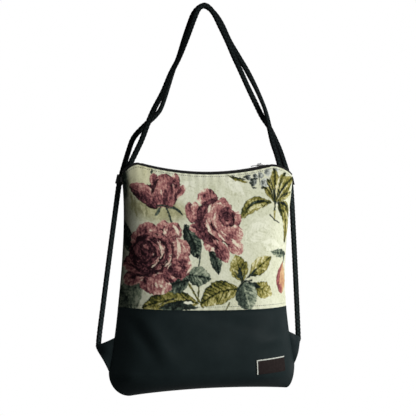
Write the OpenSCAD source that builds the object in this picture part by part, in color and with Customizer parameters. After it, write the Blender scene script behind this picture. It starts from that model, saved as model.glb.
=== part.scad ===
// Convertible backpack: a tapestry pouch with a leatherette base that hangs by two sliding straps.
// Origin at the underside of the straps where a hook carries them, X right, Y back, Z up, millimetres.

/* [Bag] */
// Height of the bag, from the peaks of its top edge to its bottom
bag_h = 400; // [370:1:430]
// Width between the two top corners
top_w = 322; // [312:1:334]
// Width at the waist, its narrowest level
waist_w = 306; // [296:1:312]
// Width at the fullest level of the base
base_w = 348; // [336:1:360]
// Height of the waist above the bottom
waist_up = 247; // [220:1:270]
// How far the top hangs to the right of the base
top_shift = 10; // [0:1:14]
// Drop from the hook to the peaks of the top edge
hang_drop = 277; // [250:1:310]

/* [Filling] */
// Fullest depth in front of the side seams
front_depth = 46; // [36:1:56]
// Fullest depth behind the side seams
back_depth = 36; // [28:1:46]
// Half of the opening that the zip closes
mouth = 11; // [9:0.5:14]
// How square the mouth runs into the top corners
mouth_square = 14; // [12:1:20]
// How square the base runs into the side seams
base_square = 4; // [3:0.5:6]

/* [Top edge] */
// Distance between the two peaks of the top edge
peak_gap = 250; // [230:1:260]
// Sag of the zip between the peaks
zip_sag = 16; // [10:1:22]
// Drop from a peak to its top corner
corner_drop = 18; // [12:1:24]

/* [Base] */
// Height of the leatherette base
base_h = 150; // [130:1:170]
// Dip of the seam above the base, at its middle
seam_dip = 4; // [0:1:14]
// Drop of that seam from its middle to its right end, and its rise to the left
seam_tilt = 3; // [-4:0.5:4]
// Height of the rounded bottom
bottom_r = 40; // [30:1:50]
// Reach of the rounded bottom corner on the left
left_corner = 38; // [24:1:48]
// Reach of the rounded bottom corner on the right, which is fuller
right_corner = 16; // [12:1:48]
// Rise of the bottom at its middle
bottom_lift = 7; // [0:1:12]

/* [Cloth] */
// Thickness of the tapestry with its backing
tapestry_t = 1.4; // [1:0.1:1.8]
// Thickness of the leatherette
leather_t = 1.5; // [1:0.1:2]
// Thickness of the lining
lining_t = 0.8; // [0.5:0.1:1]
// Room between the lining and the walls
lining_gap = 0.8; // [0.6:0.1:0.9]
// Drop of the lining's edge below the zip's tape
lining_drop = 3; // [2:0.5:5]
// Width of the outer seam allowance that the lining stays clear of
lining_inset = 7; // [6:0.5:12]

/* [Zip] */
// Length of the zip's teeth, between the stops
zip_length = 226; // [200:1:230]
// Spacing of the teeth
tooth_pitch = 3; // [2.5:0.1:4]
// Length of a tooth along the zip
tooth_l = 1.7; // [1.3:0.1:1.9]
// Width of one row of teeth
tooth_w = 1.8; // [1.4:0.1:2]
// Height of a tooth
tooth_h = 1.8; // [1.4:0.1:2.2]
// Depth of the teeth below the edge of the tape
tooth_seat = 1; // [0.8:0.1:1.2]
// Width of the lane between the two rows
lane_w = 1; // [0.9:0.1:1.2]
// Thickness of the zip's tape
tape_t = 0.7; // [0.5:0.1:0.9]
// Depth of the tape below the top edge, inside the panels
tape_down = 9; // [7:0.5:11]
// Rise of the tape from the top edge to the teeth
tape_rise = 3.4; // [2.6:0.1:4]
// Length of one stop
stop_l = 3; // [2:0.5:4]
// Length of the slider
slider_l = 10.5; // [9:0.5:13]
// Width of the slider at its shoulder
slider_w = 8; // [7.4:0.2:9]
// Thickness of the slider's plates
plate_t = 1; // [0.8:0.1:1.3]
// Thickness of the flanges that guide the teeth
flange_t = 0.8; // [0.6:0.1:1]
// How far the slider narrows where the teeth are shut
slider_taper = 1; // [0.5:0.1:1.4]
// Length of the slider's bail
bail_l = 7; // [6:0.5:8]
// Width of the bail
bail_w = 1.6; // [1.2:0.1:2]
// Thickness of the bail's legs and its top
bail_t = 1; // [0.8:0.1:1.2]
// Room round the crossbar in the bail
bar_play = 0.4; // [0.3:0.05:0.5]
// Diameter of the pull's crossbar
bar_d = 1.4; // [1.2:0.1:1.6]
// Length of the pull, from its crossbar
pull_l = 17; // [15:1:18]
// Width of the pull
pull_w = 6.5; // [5.5:0.5:8]
// Width of the pull's two arms
arm_w = 1.1; // [0.9:0.1:1.3]
// Thickness of the pull
pull_t = 1.2; // [1:0.1:1.4]

/* [Straps] */
// Width of a strap
strap_w = 10; // [8:0.5:11]
// Thickness of a strap
strap_t = 5; // [4:0.25:5.5]
// Room round a strap in its corner loop
strap_play = 0.4; // [0.3:0.05:0.6]
// Straight run of a strap past each end of its loop
strap_run = 6; // [4:0.5:8]
// Length of a strap that is sewn inside its tab
strap_sewn = 5; // [4:0.5:7]
// Straight run of a strap above its tab
strap_rise = 12; // [8:1:20]
// Turn of the left strap's flat side between its tab and its loop
left_turn = -10; // [-30:1:30]
// Turn of the right strap's flat side between its tab and its loop
right_turn = 20; // [-30:1:30]
// Outward bow of the left strap between its tab and its loop
left_bow = 0.5; // [0:0.5:2]
// Outward bow of the right strap between its tab and its loop
right_bow = 0.5; // [0:0.5:4]
// Distance of a strap's middle in from the outermost tip of its tab
strap_in = 1; // [0:0.5:2]

/* [Corner loops] */
// Height of a corner loop
loop_h = 16; // [10:1:18]
// Thickness of the loop's webbing
loop_t = 1.2; // [0.9:0.1:1.6]
// Distance from a peak down to the middle of the loops
loop_down = 27; // [22:1:34]
// Distance of a loop behind its side seam
loop_back = 11; // [10:0.5:13]
// Distance of a loop's middle outside its side seam
loop_out = 1.5; // [1:0.1:2.5]
// Width of the webbing that sews a loop to its seam
loop_tail = 2; // [1.6:0.1:2.4]
// Lean of the loops towards the hook, in degrees
loop_lean = 14; // [8:1:18]

/* [Side tabs] */
// Height of a tab's top above the bottom, at the seam
tab_up = 101; // [92:1:106]
// Height of a tab along the seam
tab_h = 63; // [50:1:64]
// Height of a tab's tip above the bottom
tip_up = 86; // [80:1:92]
// Reach of a tab's tip beyond the fullest width
tip_out = 15; // [12:1:22]
// Distance of a tab's tip behind its side seam
tip_back = 14; // [8:1:16]
// Inward slant of a tab's blunt tip
tip_slant = 4; // [2:0.5:5]
// Thickness of a tab at the seam
tab_t = 2.6; // [2:0.1:3]
// Thickness of a tab at its tip, round the strap
tip_t = 7; // [6:0.25:8]

/* [Label] */
// Width of the label
label_w = 61; // [40:1:64]
// Height of the label
label_h = 27; // [18:1:30]
// Thickness of the label
label_t = 1; // [0.6:0.1:1.4]
// Distance of the label's middle in from the fullest width of the base
label_x = 61; // [54:1:110]
// Height of the label's middle above the bottom
label_up = 45; // [40:1:60]
// Tilt of the label, in degrees
label_turn = 3; // [0:0.5:8]

/* [Fit] */
// Clearance between pieces that meet or slide
clearance = 0.3; // [0.2:0.05:0.4]

/* [Hidden] */
$fn = 32;

FRONT = -1;
BACK = 1;
LEFT = -1;
RIGHT = 1;

// Levels of the bag below the hook
z_peak = -hang_drop;
z_bottom = z_peak - bag_h;
z_seam = z_bottom + base_h;
z_round = z_bottom + bottom_r;
z_waist = z_bottom + waist_up;

// The zip's arc, which sags between the two peaks
arc_r = (pow(peak_gap / 2, 2) + pow(zip_sag, 2)) / (2 * zip_sag);
arc_z = z_peak - zip_sag + arc_r;
zip_half = asin(zip_length / 2 / arc_r);
tape_half = zip_half + asin((stop_l + 2 * clearance) / arc_r);

// Columns and rows of the cloth grids
COLUMNS = 26;
PANEL_ROWS = 12;
SIDE_ROWS = 6;
ROUND_ROWS = 6;
LINING_COLUMNS = 16;

function mix(a, b, k) = a + (b - a) * k;
function ease(k) = let (c = min(max(k, 0), 1)) c * c * (3 - 2 * c);
function unit(a) = a / norm(a);

// Height along the bag as one number: 0 top edge, 1 seam, 2 start of the rounded bottom, 3 bottom
function level_z(v) =
    v <= 1 ? mix(z_peak, z_seam, v) : v <= 2 ? mix(z_seam, z_round, v - 1) : z_round;
function round_angle(v) = 90 * max(v - 2, 0);

// Outline from the front: half widths that grow away from the waist, round the bottom corners
function half_width(s, v) =
    let (z = level_z(v))
    (z > z_waist
        ? mix(waist_w, top_w, pow((z - z_waist) / (z_peak - z_waist), 2))
        : mix(waist_w, base_w, pow((z_waist - z) / (z_waist - z_round), 2))) / 2
    - (s < 0 ? left_corner : right_corner) * (1 - cos(round_angle(v)));
function centre_x(v) = top_shift * ease((level_z(v) - z_seam) / (z_peak - z_seam));

// Height of the top edge at a place across: the zip's arc, then down to the corner
function edge_z(x, corner) =
    let (past = (abs(x) - peak_gap / 2) / (abs(corner) - peak_gap / 2))
    past < 0 ? arc_z - sqrt(arc_r * arc_r - x * x) : z_peak - corner_drop * past * past;
function top_z(s) =
    let (x = centre_x(0) + half_width(s, 0) * s, corner = centre_x(0) + half_width(s, 0) * sign(s))
    edge_z(x, corner);
function seam_z(s) = z_seam - seam_dip * (1 - s * s) - seam_tilt * s;
function cloth_z(s, v) =
    v <= 1 ? mix(top_z(s), seam_z(s), v)
    : v <= 2 ? mix(seam_z(s), z_round, v - 1)
    : z_round - (bottom_r - bottom_lift * (1 - s * s)) * sin(round_angle(v));

// Depth of the cloth from the plane of the side seams, and how it runs out to them
function fullness(v) = sin(90 * (z_peak - level_z(v)) / (z_peak - z_round));
function depth(v, side) =
    mix(mouth, side == FRONT ? front_depth : back_depth, fullness(v)) * cos(round_angle(v));
function squareness(v) =
    base_square + (mouth_square - base_square) * pow((level_z(v) - z_round) / (z_peak - z_round), 3);
function crown(s, v) = 1 - pow(abs(s), squareness(v));

// A point of the cloth: s across from seam to seam, v down, off out from the middle of the wall
function cloth_point(s, v, side, off, inset = 0, less = 0) = [
    centre_x(v) + (half_width(s, v) - inset) * s,
    side * (max(depth(v, side) - less * cos(round_angle(v)), 0) * crown(s, v)
        + off * cos(round_angle(v))),
    cloth_z(s, v) + (less - off) * sin(round_angle(v))
];

// Places across and down for the grids, closer together towards the side seams
function across(n) = [for (i = [0:n - 1]) sin(mix(-90, 90, i / (n - 1)))];
function spread(from, to, n) = [for (i = [0:n - 1]) mix(from, to, i / (n - 1))];
function down_and_round(from, sides) = concat(
    spread(from, 1, sides), spread(1, 2, SIDE_ROWS), [for (i = [1:ROUND_ROWS]) 2 + i / ROUND_ROWS]
);

// Rows of one side of the bag, and of a wall that wraps under its bottom
function side_rows(levels, columns, side, off, inset = 0, less = 0) =
    [for (v = levels) [for (s = columns) cloth_point(s, v, side, off, inset, less)]];
function wrap_rows(levels, columns, off, inset = 0, less = 0) =
    let (n = len(levels), up = [for (i = [n - 2:-1:0]) levels[i]])
    concat(
        side_rows(levels, columns, FRONT, off, inset, less),
        side_rows(up, columns, BACK, off, inset, less)
    );

// A closed sheet between two equal grids of points
module sheet(outer, inner) {
    rows = len(outer);
    cols = len(outer[0]);
    n = rows * cols;
    points = concat([for (r = outer) each r], [for (r = inner) each r]);
    ring = concat(
        [for (c = [0:cols - 1]) c],
        [for (r = [1:rows - 1]) r * cols + cols - 1],
        [for (c = [cols - 2:-1:0]) (rows - 1) * cols + c],
        [for (r = [rows - 2:-1:1]) r * cols]
    );
    faces = concat(
        [for (r = [0:rows - 2], c = [0:cols - 2], h = [0, 1])
            let (a = r * cols + c)
            h == 0 ? [a, a + cols, a + 1] : [a + 1, a + cols, a + cols + 1]],
        [for (r = [0:rows - 2], c = [0:cols - 2], h = [0, 1])
            let (a = n + r * cols + c)
            h == 0 ? [a, a + 1, a + cols] : [a + 1, a + cols + 1, a + cols]],
        [for (i = [0:len(ring) - 1], h = [0, 1])
            let (a = ring[i], b = ring[(i + 1) % len(ring)])
            h == 0 ? [a, b, a + n] : [b, b + n, a + n]]
    );
    polyhedron(points, faces, convexity = 6);
}

// Half of the space between two walls that are sewn together
seam_half = clearance / 2;

// Tapestry panels
module panel(side) {
    levels = spread(0, 1 - clearance / (z_peak - z_seam), PANEL_ROWS);
    columns = side == FRONT ? across(COLUMNS) : [for (i = [COLUMNS - 1:-1:0]) across(COLUMNS)[i]];
    sheet(
        side_rows(levels, columns, side, seam_half + tapestry_t),
        side_rows(levels, columns, side, seam_half)
    );
}

module front_panel() {
    color("darkkhaki") panel(FRONT);
}

module back_panel() {
    color("darkkhaki") panel(BACK);
}

// Leatherette base, one sheet that wraps under the bottom
module base() {
    levels = concat(spread(1, 2, SIDE_ROWS), [for (i = [1:ROUND_ROWS]) 2 + i / ROUND_ROWS]);
    color("darkslategray")
        sheet(
            wrap_rows(levels, across(COLUMNS), seam_half + leather_t),
            wrap_rows(levels, across(COLUMNS), seam_half)
        );
}

// Lining, a smaller bag inside with its mouth below the zip tape
lining_top = (tape_down + lining_drop) / (z_peak - z_seam);
module lining() {
    levels = down_and_round(lining_top, SIDE_ROWS);
    less = lining_t + lining_gap;
    color("dimgray")
        sheet(
            wrap_rows(levels, across(LINING_COLUMNS), seam_half + lining_t, lining_inset, less),
            wrap_rows(levels, across(LINING_COLUMNS), seam_half, lining_inset, less)
        );
}

// The zip: local heights above the top edge's arc, then pieces swept along that arc
tooth_z0 = tape_rise - tooth_seat;
tooth_z1 = tooth_z0 + tooth_h;
tooth_y0 = lane_w / 2;
tooth_y1 = tooth_y0 + tooth_w;
tape_y0 = tooth_y1 + clearance;
tape_end = (arc_r * sin(tape_half) + top_shift) / half_width(LEFT, 0);
tape_y1 = seam_half + mouth * crown(tape_end, 0) - clearance;
tape_bend = 0.4;

module on_arc(angle) {
    translate([0, 0, arc_z]) rotate([0, -angle, 0]) translate([0, 0, -arc_r]) children();
}

// Sweeps a profile of (across, up) along the arc between two angles
module along_arc(from, to) {
    translate([0, 0, arc_z]) rotate([90, 0, 0]) rotate([0, 0, from - 90])
        rotate_extrude(angle = to - from, $fn = 360) children();
}

module tape_profile(side) {
    up = tape_rise;
    polygon([for (p = [
        [tape_y1, -tape_down], [tape_y1, tape_bend], [tape_y0, up], [tape_y0, up - tape_t],
        [tape_y1 - tape_t, 0], [tape_y1 - tape_t, -tape_down]
    ]) [arc_r - p[1], -side * p[0]]]);
}

module zip_tape_front() {
    color("black") along_arc(-tape_half, tape_half) tape_profile(FRONT);
}

module zip_tape_back() {
    color("black") along_arc(-tape_half, tape_half) tape_profile(BACK);
}

// A row of teeth on the thin cord that carries them, with the other row half a pitch along
module teeth(side) {
    pitch = asin(tooth_pitch / arc_r);
    tooth = asin(tooth_l / arc_r);
    count = floor((2 * zip_half - pitch / 2 - tooth) / pitch);
    first = -zip_half + (side == FRONT ? 0 : pitch / 2);
    core = tooth_w / 3;
    rear = side == FRONT ? tooth_y0 : -tooth_y1;
    rib = side == FRONT ? tooth_y1 - core : -tooth_y1;
    along_arc(-zip_half, zip_half)
        translate([arc_r - tooth_z1 + tooth_h / 4, rib]) square([tooth_h / 2, core]);
    for (i = [0:count])
        along_arc(first + i * pitch, first + i * pitch + tooth)
            translate([arc_r - tooth_z1, rear]) square([tooth_h, tooth_w]);
}

module zip_teeth_front() {
    color("dimgray") teeth(FRONT);
}

module zip_teeth_back() {
    color("dimgray") teeth(BACK);
}

// One wide stop where the zip is shut, two narrow ones where it opens
module zip_stops() {
    gap = asin(clearance / arc_r);
    length = asin(stop_l / arc_r);
    color("silver") {
        along_arc(zip_half + gap, zip_half + gap + length)
            translate([arc_r - tooth_z1, -tooth_y1]) square([tooth_h, 2 * tooth_y1]);
        for (y = [-tooth_y1, tooth_y0])
            along_arc(-zip_half - gap - length, -zip_half - gap)
                translate([arc_r - tooth_z1, y]) square([tooth_h, tooth_w]);
    }
}

// The slider rests shut against the wide stop, and its bail carries the pull's crossbar
slider_angle = zip_half - asin((slider_l / 2 + 2 * clearance) / arc_r);
lower_z = tooth_z0 - clearance - plate_t;
upper_z = tooth_z1 + clearance;
bail_z = upper_z + plate_t;
bail_rise = bar_d + 2 * bar_play;
bar_z = bail_z + bail_rise / 2;
bail_top = bail_z + bail_rise + bail_t;
// Depth by which pieces of one casting run into each other
weld = 0.1;

// Outline of a slider's plate: square where the teeth part, narrower where they are shut
module slider_outline(width) {
    polygon([
        [slider_l / 2, -width / 2], [slider_l / 2, width / 2], [0, width / 2],
        [-slider_l / 2, width / 2 - slider_taper], [-slider_l / 2, slider_taper - width / 2],
        [0, -width / 2]
    ]);
}

module zip_slider() {
    web_t = lane_w - clearance;
    flange_z = tape_rise + clearance;
    color("gray") on_arc(slider_angle) {
        translate([0, 0, lower_z]) linear_extrude(plate_t) slider_outline(2 * (tape_y0 + clearance));
        translate([0, 0, upper_z]) linear_extrude(plate_t) slider_outline(slider_w);
        translate([-slider_l / 4, -web_t / 2, lower_z])
            cube([slider_l / 2, web_t, upper_z + plate_t - lower_z]);
        for (side = [-1, 1])
            translate([0, side * (slider_w - flange_t) / 2 - flange_t / 2, flange_z])
                cube([slider_l / 2, flange_t, upper_z + plate_t - flange_z]);
        translate([0, bail_w / 2, bail_z - weld]) rotate([90, 0, 0]) linear_extrude(bail_w)
            difference() {
                translate([-bail_l / 2, 0]) square([bail_l, bail_top - bail_z + weld]);
                translate([-bail_l / 2 + bail_t, weld]) square([bail_l - 2 * bail_t, bail_rise]);
            }
    }
}

// The pull lies back along the zip, with a window that clears the bail as it turns over
module zip_pull() {
    window = norm([bail_l / 2, bail_top - bar_z]) + clearance;
    arm_y = bail_w / 2 + clearance;
    color("gray") on_arc(slider_angle) translate([0, 0, bar_z]) {
        rotate([90, 0, 0]) cylinder(d = bar_d, h = 2 * (arm_y + weld), center = true);
        for (side = [-1, 1])
            translate([0, side * (arm_y + arm_w / 2) + arm_w / 2, 0])
                rotate([90, 0, 0]) linear_extrude(arm_w) {
                    circle(d = bar_d);
                    translate([-window - weld, -pull_t / 2]) square([window + weld, pull_t]);
                }
        translate([0, 0, -pull_t / 2]) linear_extrude(pull_t)
            difference() {
                union() {
                    translate([-pull_l + pull_w / 2, -pull_w / 2])
                        square([pull_l - pull_w / 2 - window, pull_w]);
                    translate([-pull_l + pull_w / 2, 0]) circle(d = pull_w);
                }
                translate([-pull_l + pull_w / 2, 0]) circle(d = pull_w / 2);
            }
    }
}

// Places on the side seams: the level of a height there, and the point of the edge
function seam_level(z, side) =
    let (top = top_z(side), seam = seam_z(side))
    z > seam ? (top - z) / (top - seam) : 1 + (seam - z) / (seam - z_round);
function seam_point(z, side) =
    let (v = seam_level(z, side)) [centre_x(v) + half_width(side, v) * side, 0, z];

loop_z = z_peak - loop_down;
function loop_place(side) =
    let (edge = seam_point(loop_z, side)) [edge[0] + side * loop_out, loop_back, loop_z];
function loop_axis(side) = [-side * sin(loop_lean), 0, cos(loop_lean)];
function tip_place(side) = [side * (base_w / 2 + tip_out), tip_back, z_bottom + tip_up];

// Straps: each runs from its tab through its loop, over the hook and into the other corner.
// A route point is across, back, height and the turn of the strap's flat side in degrees.
function at(p, turn) = [p[0], p[1], p[2], turn];
function side_route(side, turn, bow) =
    let (
        tip = tip_place(side),
        foot = tip + [-side * strap_in, 0, -strap_sewn],
        head = tip + [-side * strap_in, 0, strap_rise],
        loop = loop_place(side),
        axis = loop_axis(side),
        reach = loop_h / 2 + strap_run,
        below = loop - reach * axis
    )
    concat(
        [at(foot, turn), at(head, turn)],
        [for (k = [0.25, 0.5, 0.75]) at(mix(head, below, k) + [side * bow * 4 * k * (1 - k), 0, 0], turn)],
        [at(below, 0), at(loop, 0), at(loop + reach * axis, 0)]
    );
// Heights above the corner are in hundredths of the hook's drop
function leg_route(points) = [for (p = points) [p[0], p[1], p[2] * hang_drop / 100, p[3]]];

LEFT_LEGS = [
    [-136, 11, -92, -10], [-126, 10, -83, -5], [-104, 9, -74.5, -10], [-86, 8, -68.5, -25],
    [-75, 7, -62, -30], [-57, 6, -42, -30], [-46, 6, -31, -40], [-37, 5, -21, -30], [-27, 4, -11, -15],
    [-19, 3, -4, 0], [-10, 3, 0, 0], [0, 3, 1.8, 0], [11, 3, 0.4, 0], [24, 3, -4, 0], [36, 4, -10, 0],
    [50, 4, -20, 0], [68, 4, -30, 0], [85, 2, -40, 0], [102, -1, -52, 20], [116, -3, -64, 25],
    [123, -4, -74.5, 0], [130, -3, -84.5, 0], [138, -2, -92, 0], [145, 0, -99, 0], [151, 0, -105, 0]
];
RIGHT_LEGS = [
    [152, 10, -91, 0], [142, 9, -83.5, 0], [128, 8, -74.5, 0], [113, 6, -67.5, 25], [99, 3, -59, 20],
    [84, -1, -50, 0], [69, -4, -40, 0], [55, -4, -30, 0], [42, -4, -20, 0], [28, -3, -10, 0],
    [19, -3, -4, 0], [10, -3, 0, 0], [0, -3, 1.8, 0], [-11, -3, -0.5, 0], [-21, -4, -8, -15],
    [-33, -5, -19, -30], [-48, -5, -32, -40], [-64, -5, -43, -30], [-78, -5, -54.5, -30],
    [-95, -4, -66, -30], [-105, -3, -74.5, -10], [-116, -2, -85, 0], [-128, -1, -94, 0],
    [-137, 0, -101, 0], [-140, 0, -106, 0]
];

// A smooth line through the route's points, two rings to a step
function smooth_point(a, b, c, d, k) =
    0.5 * (2 * b + (c - a) * k + (2 * a - 5 * b + 4 * c - d) * k * k
        + (3 * b - a - 3 * c + d) * k * k * k);
function smooth(route, steps = 2) =
    let (last = len(route) - 1)
    concat(
        [for (i = [0:last - 1], j = [0:steps - 1])
            smooth_point(
                route[max(i - 1, 0)], route[i], route[i + 1], route[min(i + 2, last)], j / steps
            )],
        [route[last]]
    );
function place(p) = [p[0], p[1], p[2]];

// One ring of the strap: an oval across the route, turned about it
STRAP_SIDES = 10;
function strap_ring(line, i) =
    let (
        last = len(line) - 1,
        along = unit(place(line[min(i + 1, last)]) - place(line[max(i - 1, 0)])),
        flat = unit(cross(along, [0, 1, 0])),
        thick = cross(flat, along),
        turn = line[i][3]
    )
    [for (k = [0:STRAP_SIDES - 1])
        let (
            a = 360 * k / STRAP_SIDES,
            u = strap_w / 2 * cos(a),
            w = strap_t / 2 * sin(a)
        )
        place(line[i]) + (u * cos(turn) - w * sin(turn)) * flat
            + (u * sin(turn) + w * cos(turn)) * thick];

module strap(route) {
    line = smooth(route);
    n = STRAP_SIDES;
    rings = len(line);
    points = [for (i = [0:rings - 1]) each strap_ring(line, i)];
    faces = concat(
        [for (i = [0:rings - 2], k = [0:n - 1], h = [0, 1])
            let (a = i * n + k, b = i * n + (k + 1) % n)
            h == 0 ? [a, a + n, b] : [b, a + n, b + n]],
        [[for (k = [0:n - 1]) k]],
        [[for (k = [n - 1:-1:0]) (rings - 1) * n + k]]
    );
    polyhedron(points, faces, convexity = 8);
}

module strap_left() {
    color("black") strap(concat(side_route(LEFT, left_turn, left_bow), leg_route(LEFT_LEGS)));
}

module strap_right() {
    color("black") strap(concat(side_route(RIGHT, right_turn, right_bow), leg_route(RIGHT_LEGS)));
}

// Corner loops: webbing folded round the strap and sewn to the side seam
module stadium(width, height) {
    square([width - height, height], center = true);
    for (end = [-1, 1]) translate([end * (width - height) / 2, 0]) circle(d = height);
}

module corner_loop(side) {
    room = 2 * strap_play;
    wall = room + 2 * loop_t;
    edge = seam_point(loop_z, side)[0];
    sewn = loop_back - strap_t / 2 - room / 2 - loop_t / 2;
    translate(loop_place(side)) rotate([0, -side * loop_lean, 0])
        linear_extrude(loop_h, center = true)
            difference() {
                stadium(strap_w + wall, strap_t + wall);
                stadium(strap_w + room, strap_t + room);
            }
    translate([edge + side * (2 * clearance + loop_tail / 2), (sewn - tapestry_t) / 2, loop_z])
        cube([loop_tail, sewn + tapestry_t, loop_h / 2], center = true);
}

module corner_loop_left() {
    color("black") corner_loop(LEFT);
}

module corner_loop_right() {
    color("black") corner_loop(RIGHT);
}

// Side tabs: folded leatherette from the side seam to a tip that holds the strap's end
module side_tab(side) {
    tip = tip_place(side);
    rows = spread(0, 1, 6);
    columns = spread(0, 1, 8);
    function root(k) =
        seam_point(z_bottom + tab_up - tab_h * k, side) + [side * clearance, 0, 0];
    function end(k) = tip + [side * (strap_w / 2 - tip_slant * k), 0, -strap_w * k];
    function grid(face) = [for (r = rows) [for (k = columns)
        mix(root(k), end(k), r) + [0, face * mix(tab_t, tip_t, r * r) / 2, 0]]];
    sheet(grid(side), grid(-side));
}

module side_tab_left() {
    color("darkslategray") side_tab(LEFT);
}

module side_tab_right() {
    color("darkslategray") side_tab(RIGHT);
}

// Bare label, bent to the front of the base
function base_level(z) =
    z >= z_round ? 1 + (z_seam - z) / (z_seam - z_round) : 2 + asin((z_round - z) / bottom_r) / 90;
module label() {
    columns = spread(-0.5, 0.5, 10);
    rows = spread(0.5, -0.5, 6);
    function spot(i, k, off) =
        let (
            x = base_w / 2 - label_x + i * label_w * cos(label_turn) - k * label_h * sin(label_turn),
            z = z_bottom + label_up + k * label_h * cos(label_turn) + i * label_w * sin(label_turn),
            v = base_level(z)
        )
        cloth_point(x / half_width(x, v), v, FRONT, off);
    under = seam_half + leather_t + clearance;
    color("saddlebrown")
        sheet(
            [for (k = rows) [for (i = columns) spot(i, k, under + label_t)]],
            [for (k = rows) [for (i = columns) spot(i, k, under)]]
        );
}

front_panel();
back_panel();
base();
lining();
zip_tape_front();
zip_tape_back();
zip_teeth_front();
zip_teeth_back();
zip_stops();
zip_slider();
zip_pull();
strap_left();
strap_right();
corner_loop_left();
corner_loop_right();
side_tab_left();
side_tab_right();
label();
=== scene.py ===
"""Blender scene of the convertible backpack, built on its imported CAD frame.

Classes hold their sizes in millimetres, as the CAD source does, and meshes are written in metres.
The cloth, the base, the straps, the tabs and the label are modelled here in place of the CAD solids.
The zip keeps its CAD solids, because its slider and pull move.
"""

import logging
import math
from dataclasses import dataclass, field, replace
from enum import Enum, IntEnum
from typing import Any, Sequence

import bpy
import numpy as np
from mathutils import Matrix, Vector


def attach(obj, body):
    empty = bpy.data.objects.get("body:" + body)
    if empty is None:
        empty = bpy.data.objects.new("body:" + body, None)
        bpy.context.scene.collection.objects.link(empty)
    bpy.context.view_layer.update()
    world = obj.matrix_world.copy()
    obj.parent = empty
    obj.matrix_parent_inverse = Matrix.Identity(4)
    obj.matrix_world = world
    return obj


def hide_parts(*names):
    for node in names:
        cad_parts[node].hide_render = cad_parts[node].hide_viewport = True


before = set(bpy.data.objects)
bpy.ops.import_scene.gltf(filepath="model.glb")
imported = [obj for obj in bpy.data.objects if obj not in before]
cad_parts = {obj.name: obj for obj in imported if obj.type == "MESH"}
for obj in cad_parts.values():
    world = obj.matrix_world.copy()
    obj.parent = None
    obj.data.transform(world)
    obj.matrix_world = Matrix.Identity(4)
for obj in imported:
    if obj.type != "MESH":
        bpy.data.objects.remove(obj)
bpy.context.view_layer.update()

LOG = logging.getLogger("scene")
MM = 0.001
FINE = 4001  # places that the length across the cloth is measured with
ONE_WAVE = 0.314  # scale at which a wave texture repeats once in each cell
WHITE = (1.0, 1.0, 1.0, 1.0)
Array = np.ndarray
Point = tuple[float, float]


class Side(IntEnum):
    """Side of the bag, as the sign of its Y."""

    FRONT = -1
    BACK = 1


class Hand(IntEnum):
    """Hand of a piece seen from the front, as the sign of its X."""

    LEFT = -1
    RIGHT = 1


def linear(code: str) -> Array:
    """Turns an sRGB hex code into linear red, green and blue.

    Args:
        code: colour such as "#d4d2b6".

    Returns:
        Three linear values from 0 to 1.
    """
    values = np.array([int(code[i:i + 2], 16) for i in (1, 3, 5)]) / 255.0
    return np.where(values <= 0.04045, values / 12.92, ((values + 0.055) / 1.055) ** 2.4)


def rgba(code: str) -> tuple[float, float, float, float]:
    """Linear colour of a hex code with full alpha, as a shader socket takes it."""
    return (*(float(c) for c in linear(code)), 1.0)


def mix(a: Any, b: Any, k: Any) -> Any:
    """Straight blend from a to b."""
    return a + (b - a) * k


def ease(k: Array) -> Array:
    """Smooth step from 0 to 1 that is level at both ends."""
    c = np.clip(k, 0.0, 1.0)
    return c * c * (3.0 - 2.0 * c)


def unit(a: Array) -> Array:
    """Vectors scaled to length one."""
    return a / np.linalg.norm(a, axis=-1, keepdims=True)


def squared(wave: Array, power: float) -> Array:
    """A wave with its sign kept and its size raised to a power, so that a circle turns boxy."""
    return np.sign(wave) * np.abs(wave) ** power


def round_angles(count: int) -> Array:
    """Angles once round a ring."""
    return np.linspace(0, 2 * np.pi, count, endpoint=False)


def stations(points: Array, axis: int = 0) -> Array:
    """Lengths along a line of points, or along one axis of a grid of them, from 0."""
    step = np.linalg.norm(np.diff(points, axis=axis), axis=-1)
    return np.insert(np.cumsum(step, axis=axis), 0, 0.0, axis=axis)


def hashed(i: Array, j: Array, seed: float) -> Array:
    """Gives each lattice point a fixed value from 0 to 1.

    The value is the fraction of a large multiple of a sine of both indices.

    Args:
        i: first lattice index.
        j: second lattice index.
        seed: number that picks one lattice among many.

    Returns:
        Values of the broadcast shape.
    """
    wild = np.sin(i * 127.1 + j * 311.7 + seed * 74.7) * 43758.5453
    return wild - np.floor(wild)


def noise(x: Array, y: Array, seed: float = 0.0) -> Array:
    """Smooth value noise with cells of size one.

    Each cell blends its four corner values with a smooth step both ways.

    Args:
        x: first coordinate, in cells.
        y: second coordinate, in cells.
        seed: number that picks one noise among many.

    Returns:
        Values from 0 to 1.
    """
    i, j = np.floor(x), np.floor(y)
    a, b = ease(x - i), ease(y - j)
    low = mix(hashed(i, j, seed), hashed(i + 1, j, seed), a)
    high = mix(hashed(i, j + 1, seed), hashed(i + 1, j + 1, seed), a)
    return mix(low, high, b)


def plug(tree: bpy.types.NodeTree, node: bpy.types.Node, inputs: dict[Any, Any]) -> None:
    """Sets sockets of a node.

    Args:
        tree: node tree.
        node: node that has the sockets.
        inputs: socket name or index to a constant or to the output that feeds it.
    """
    for key, value in inputs.items():
        if isinstance(value, bpy.types.NodeSocket):
            tree.links.new(value, node.inputs[key])
        else:
            node.inputs[key].default_value = value


def add(tree: bpy.types.NodeTree, kind: str, inputs: dict[Any, Any] | None = None,
        **settings: Any) -> bpy.types.Node:
    """Adds one node to a tree.

    Args:
        tree: node tree.
        kind: node type name.
        inputs: sockets, as plug takes them.
        settings: plain attributes of the node.

    Returns:
        The new node.
    """
    node = tree.nodes.new(kind)
    for key, value in settings.items():
        setattr(node, key, value)
    plug(tree, node, inputs or {})
    return node


def bare_tree(owner: bpy.types.Material | bpy.types.World) -> bpy.types.NodeTree:
    """Emptied node tree of a material or a world."""
    owner.use_nodes = True
    owner.node_tree.nodes.clear()
    return owner.node_tree


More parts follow.
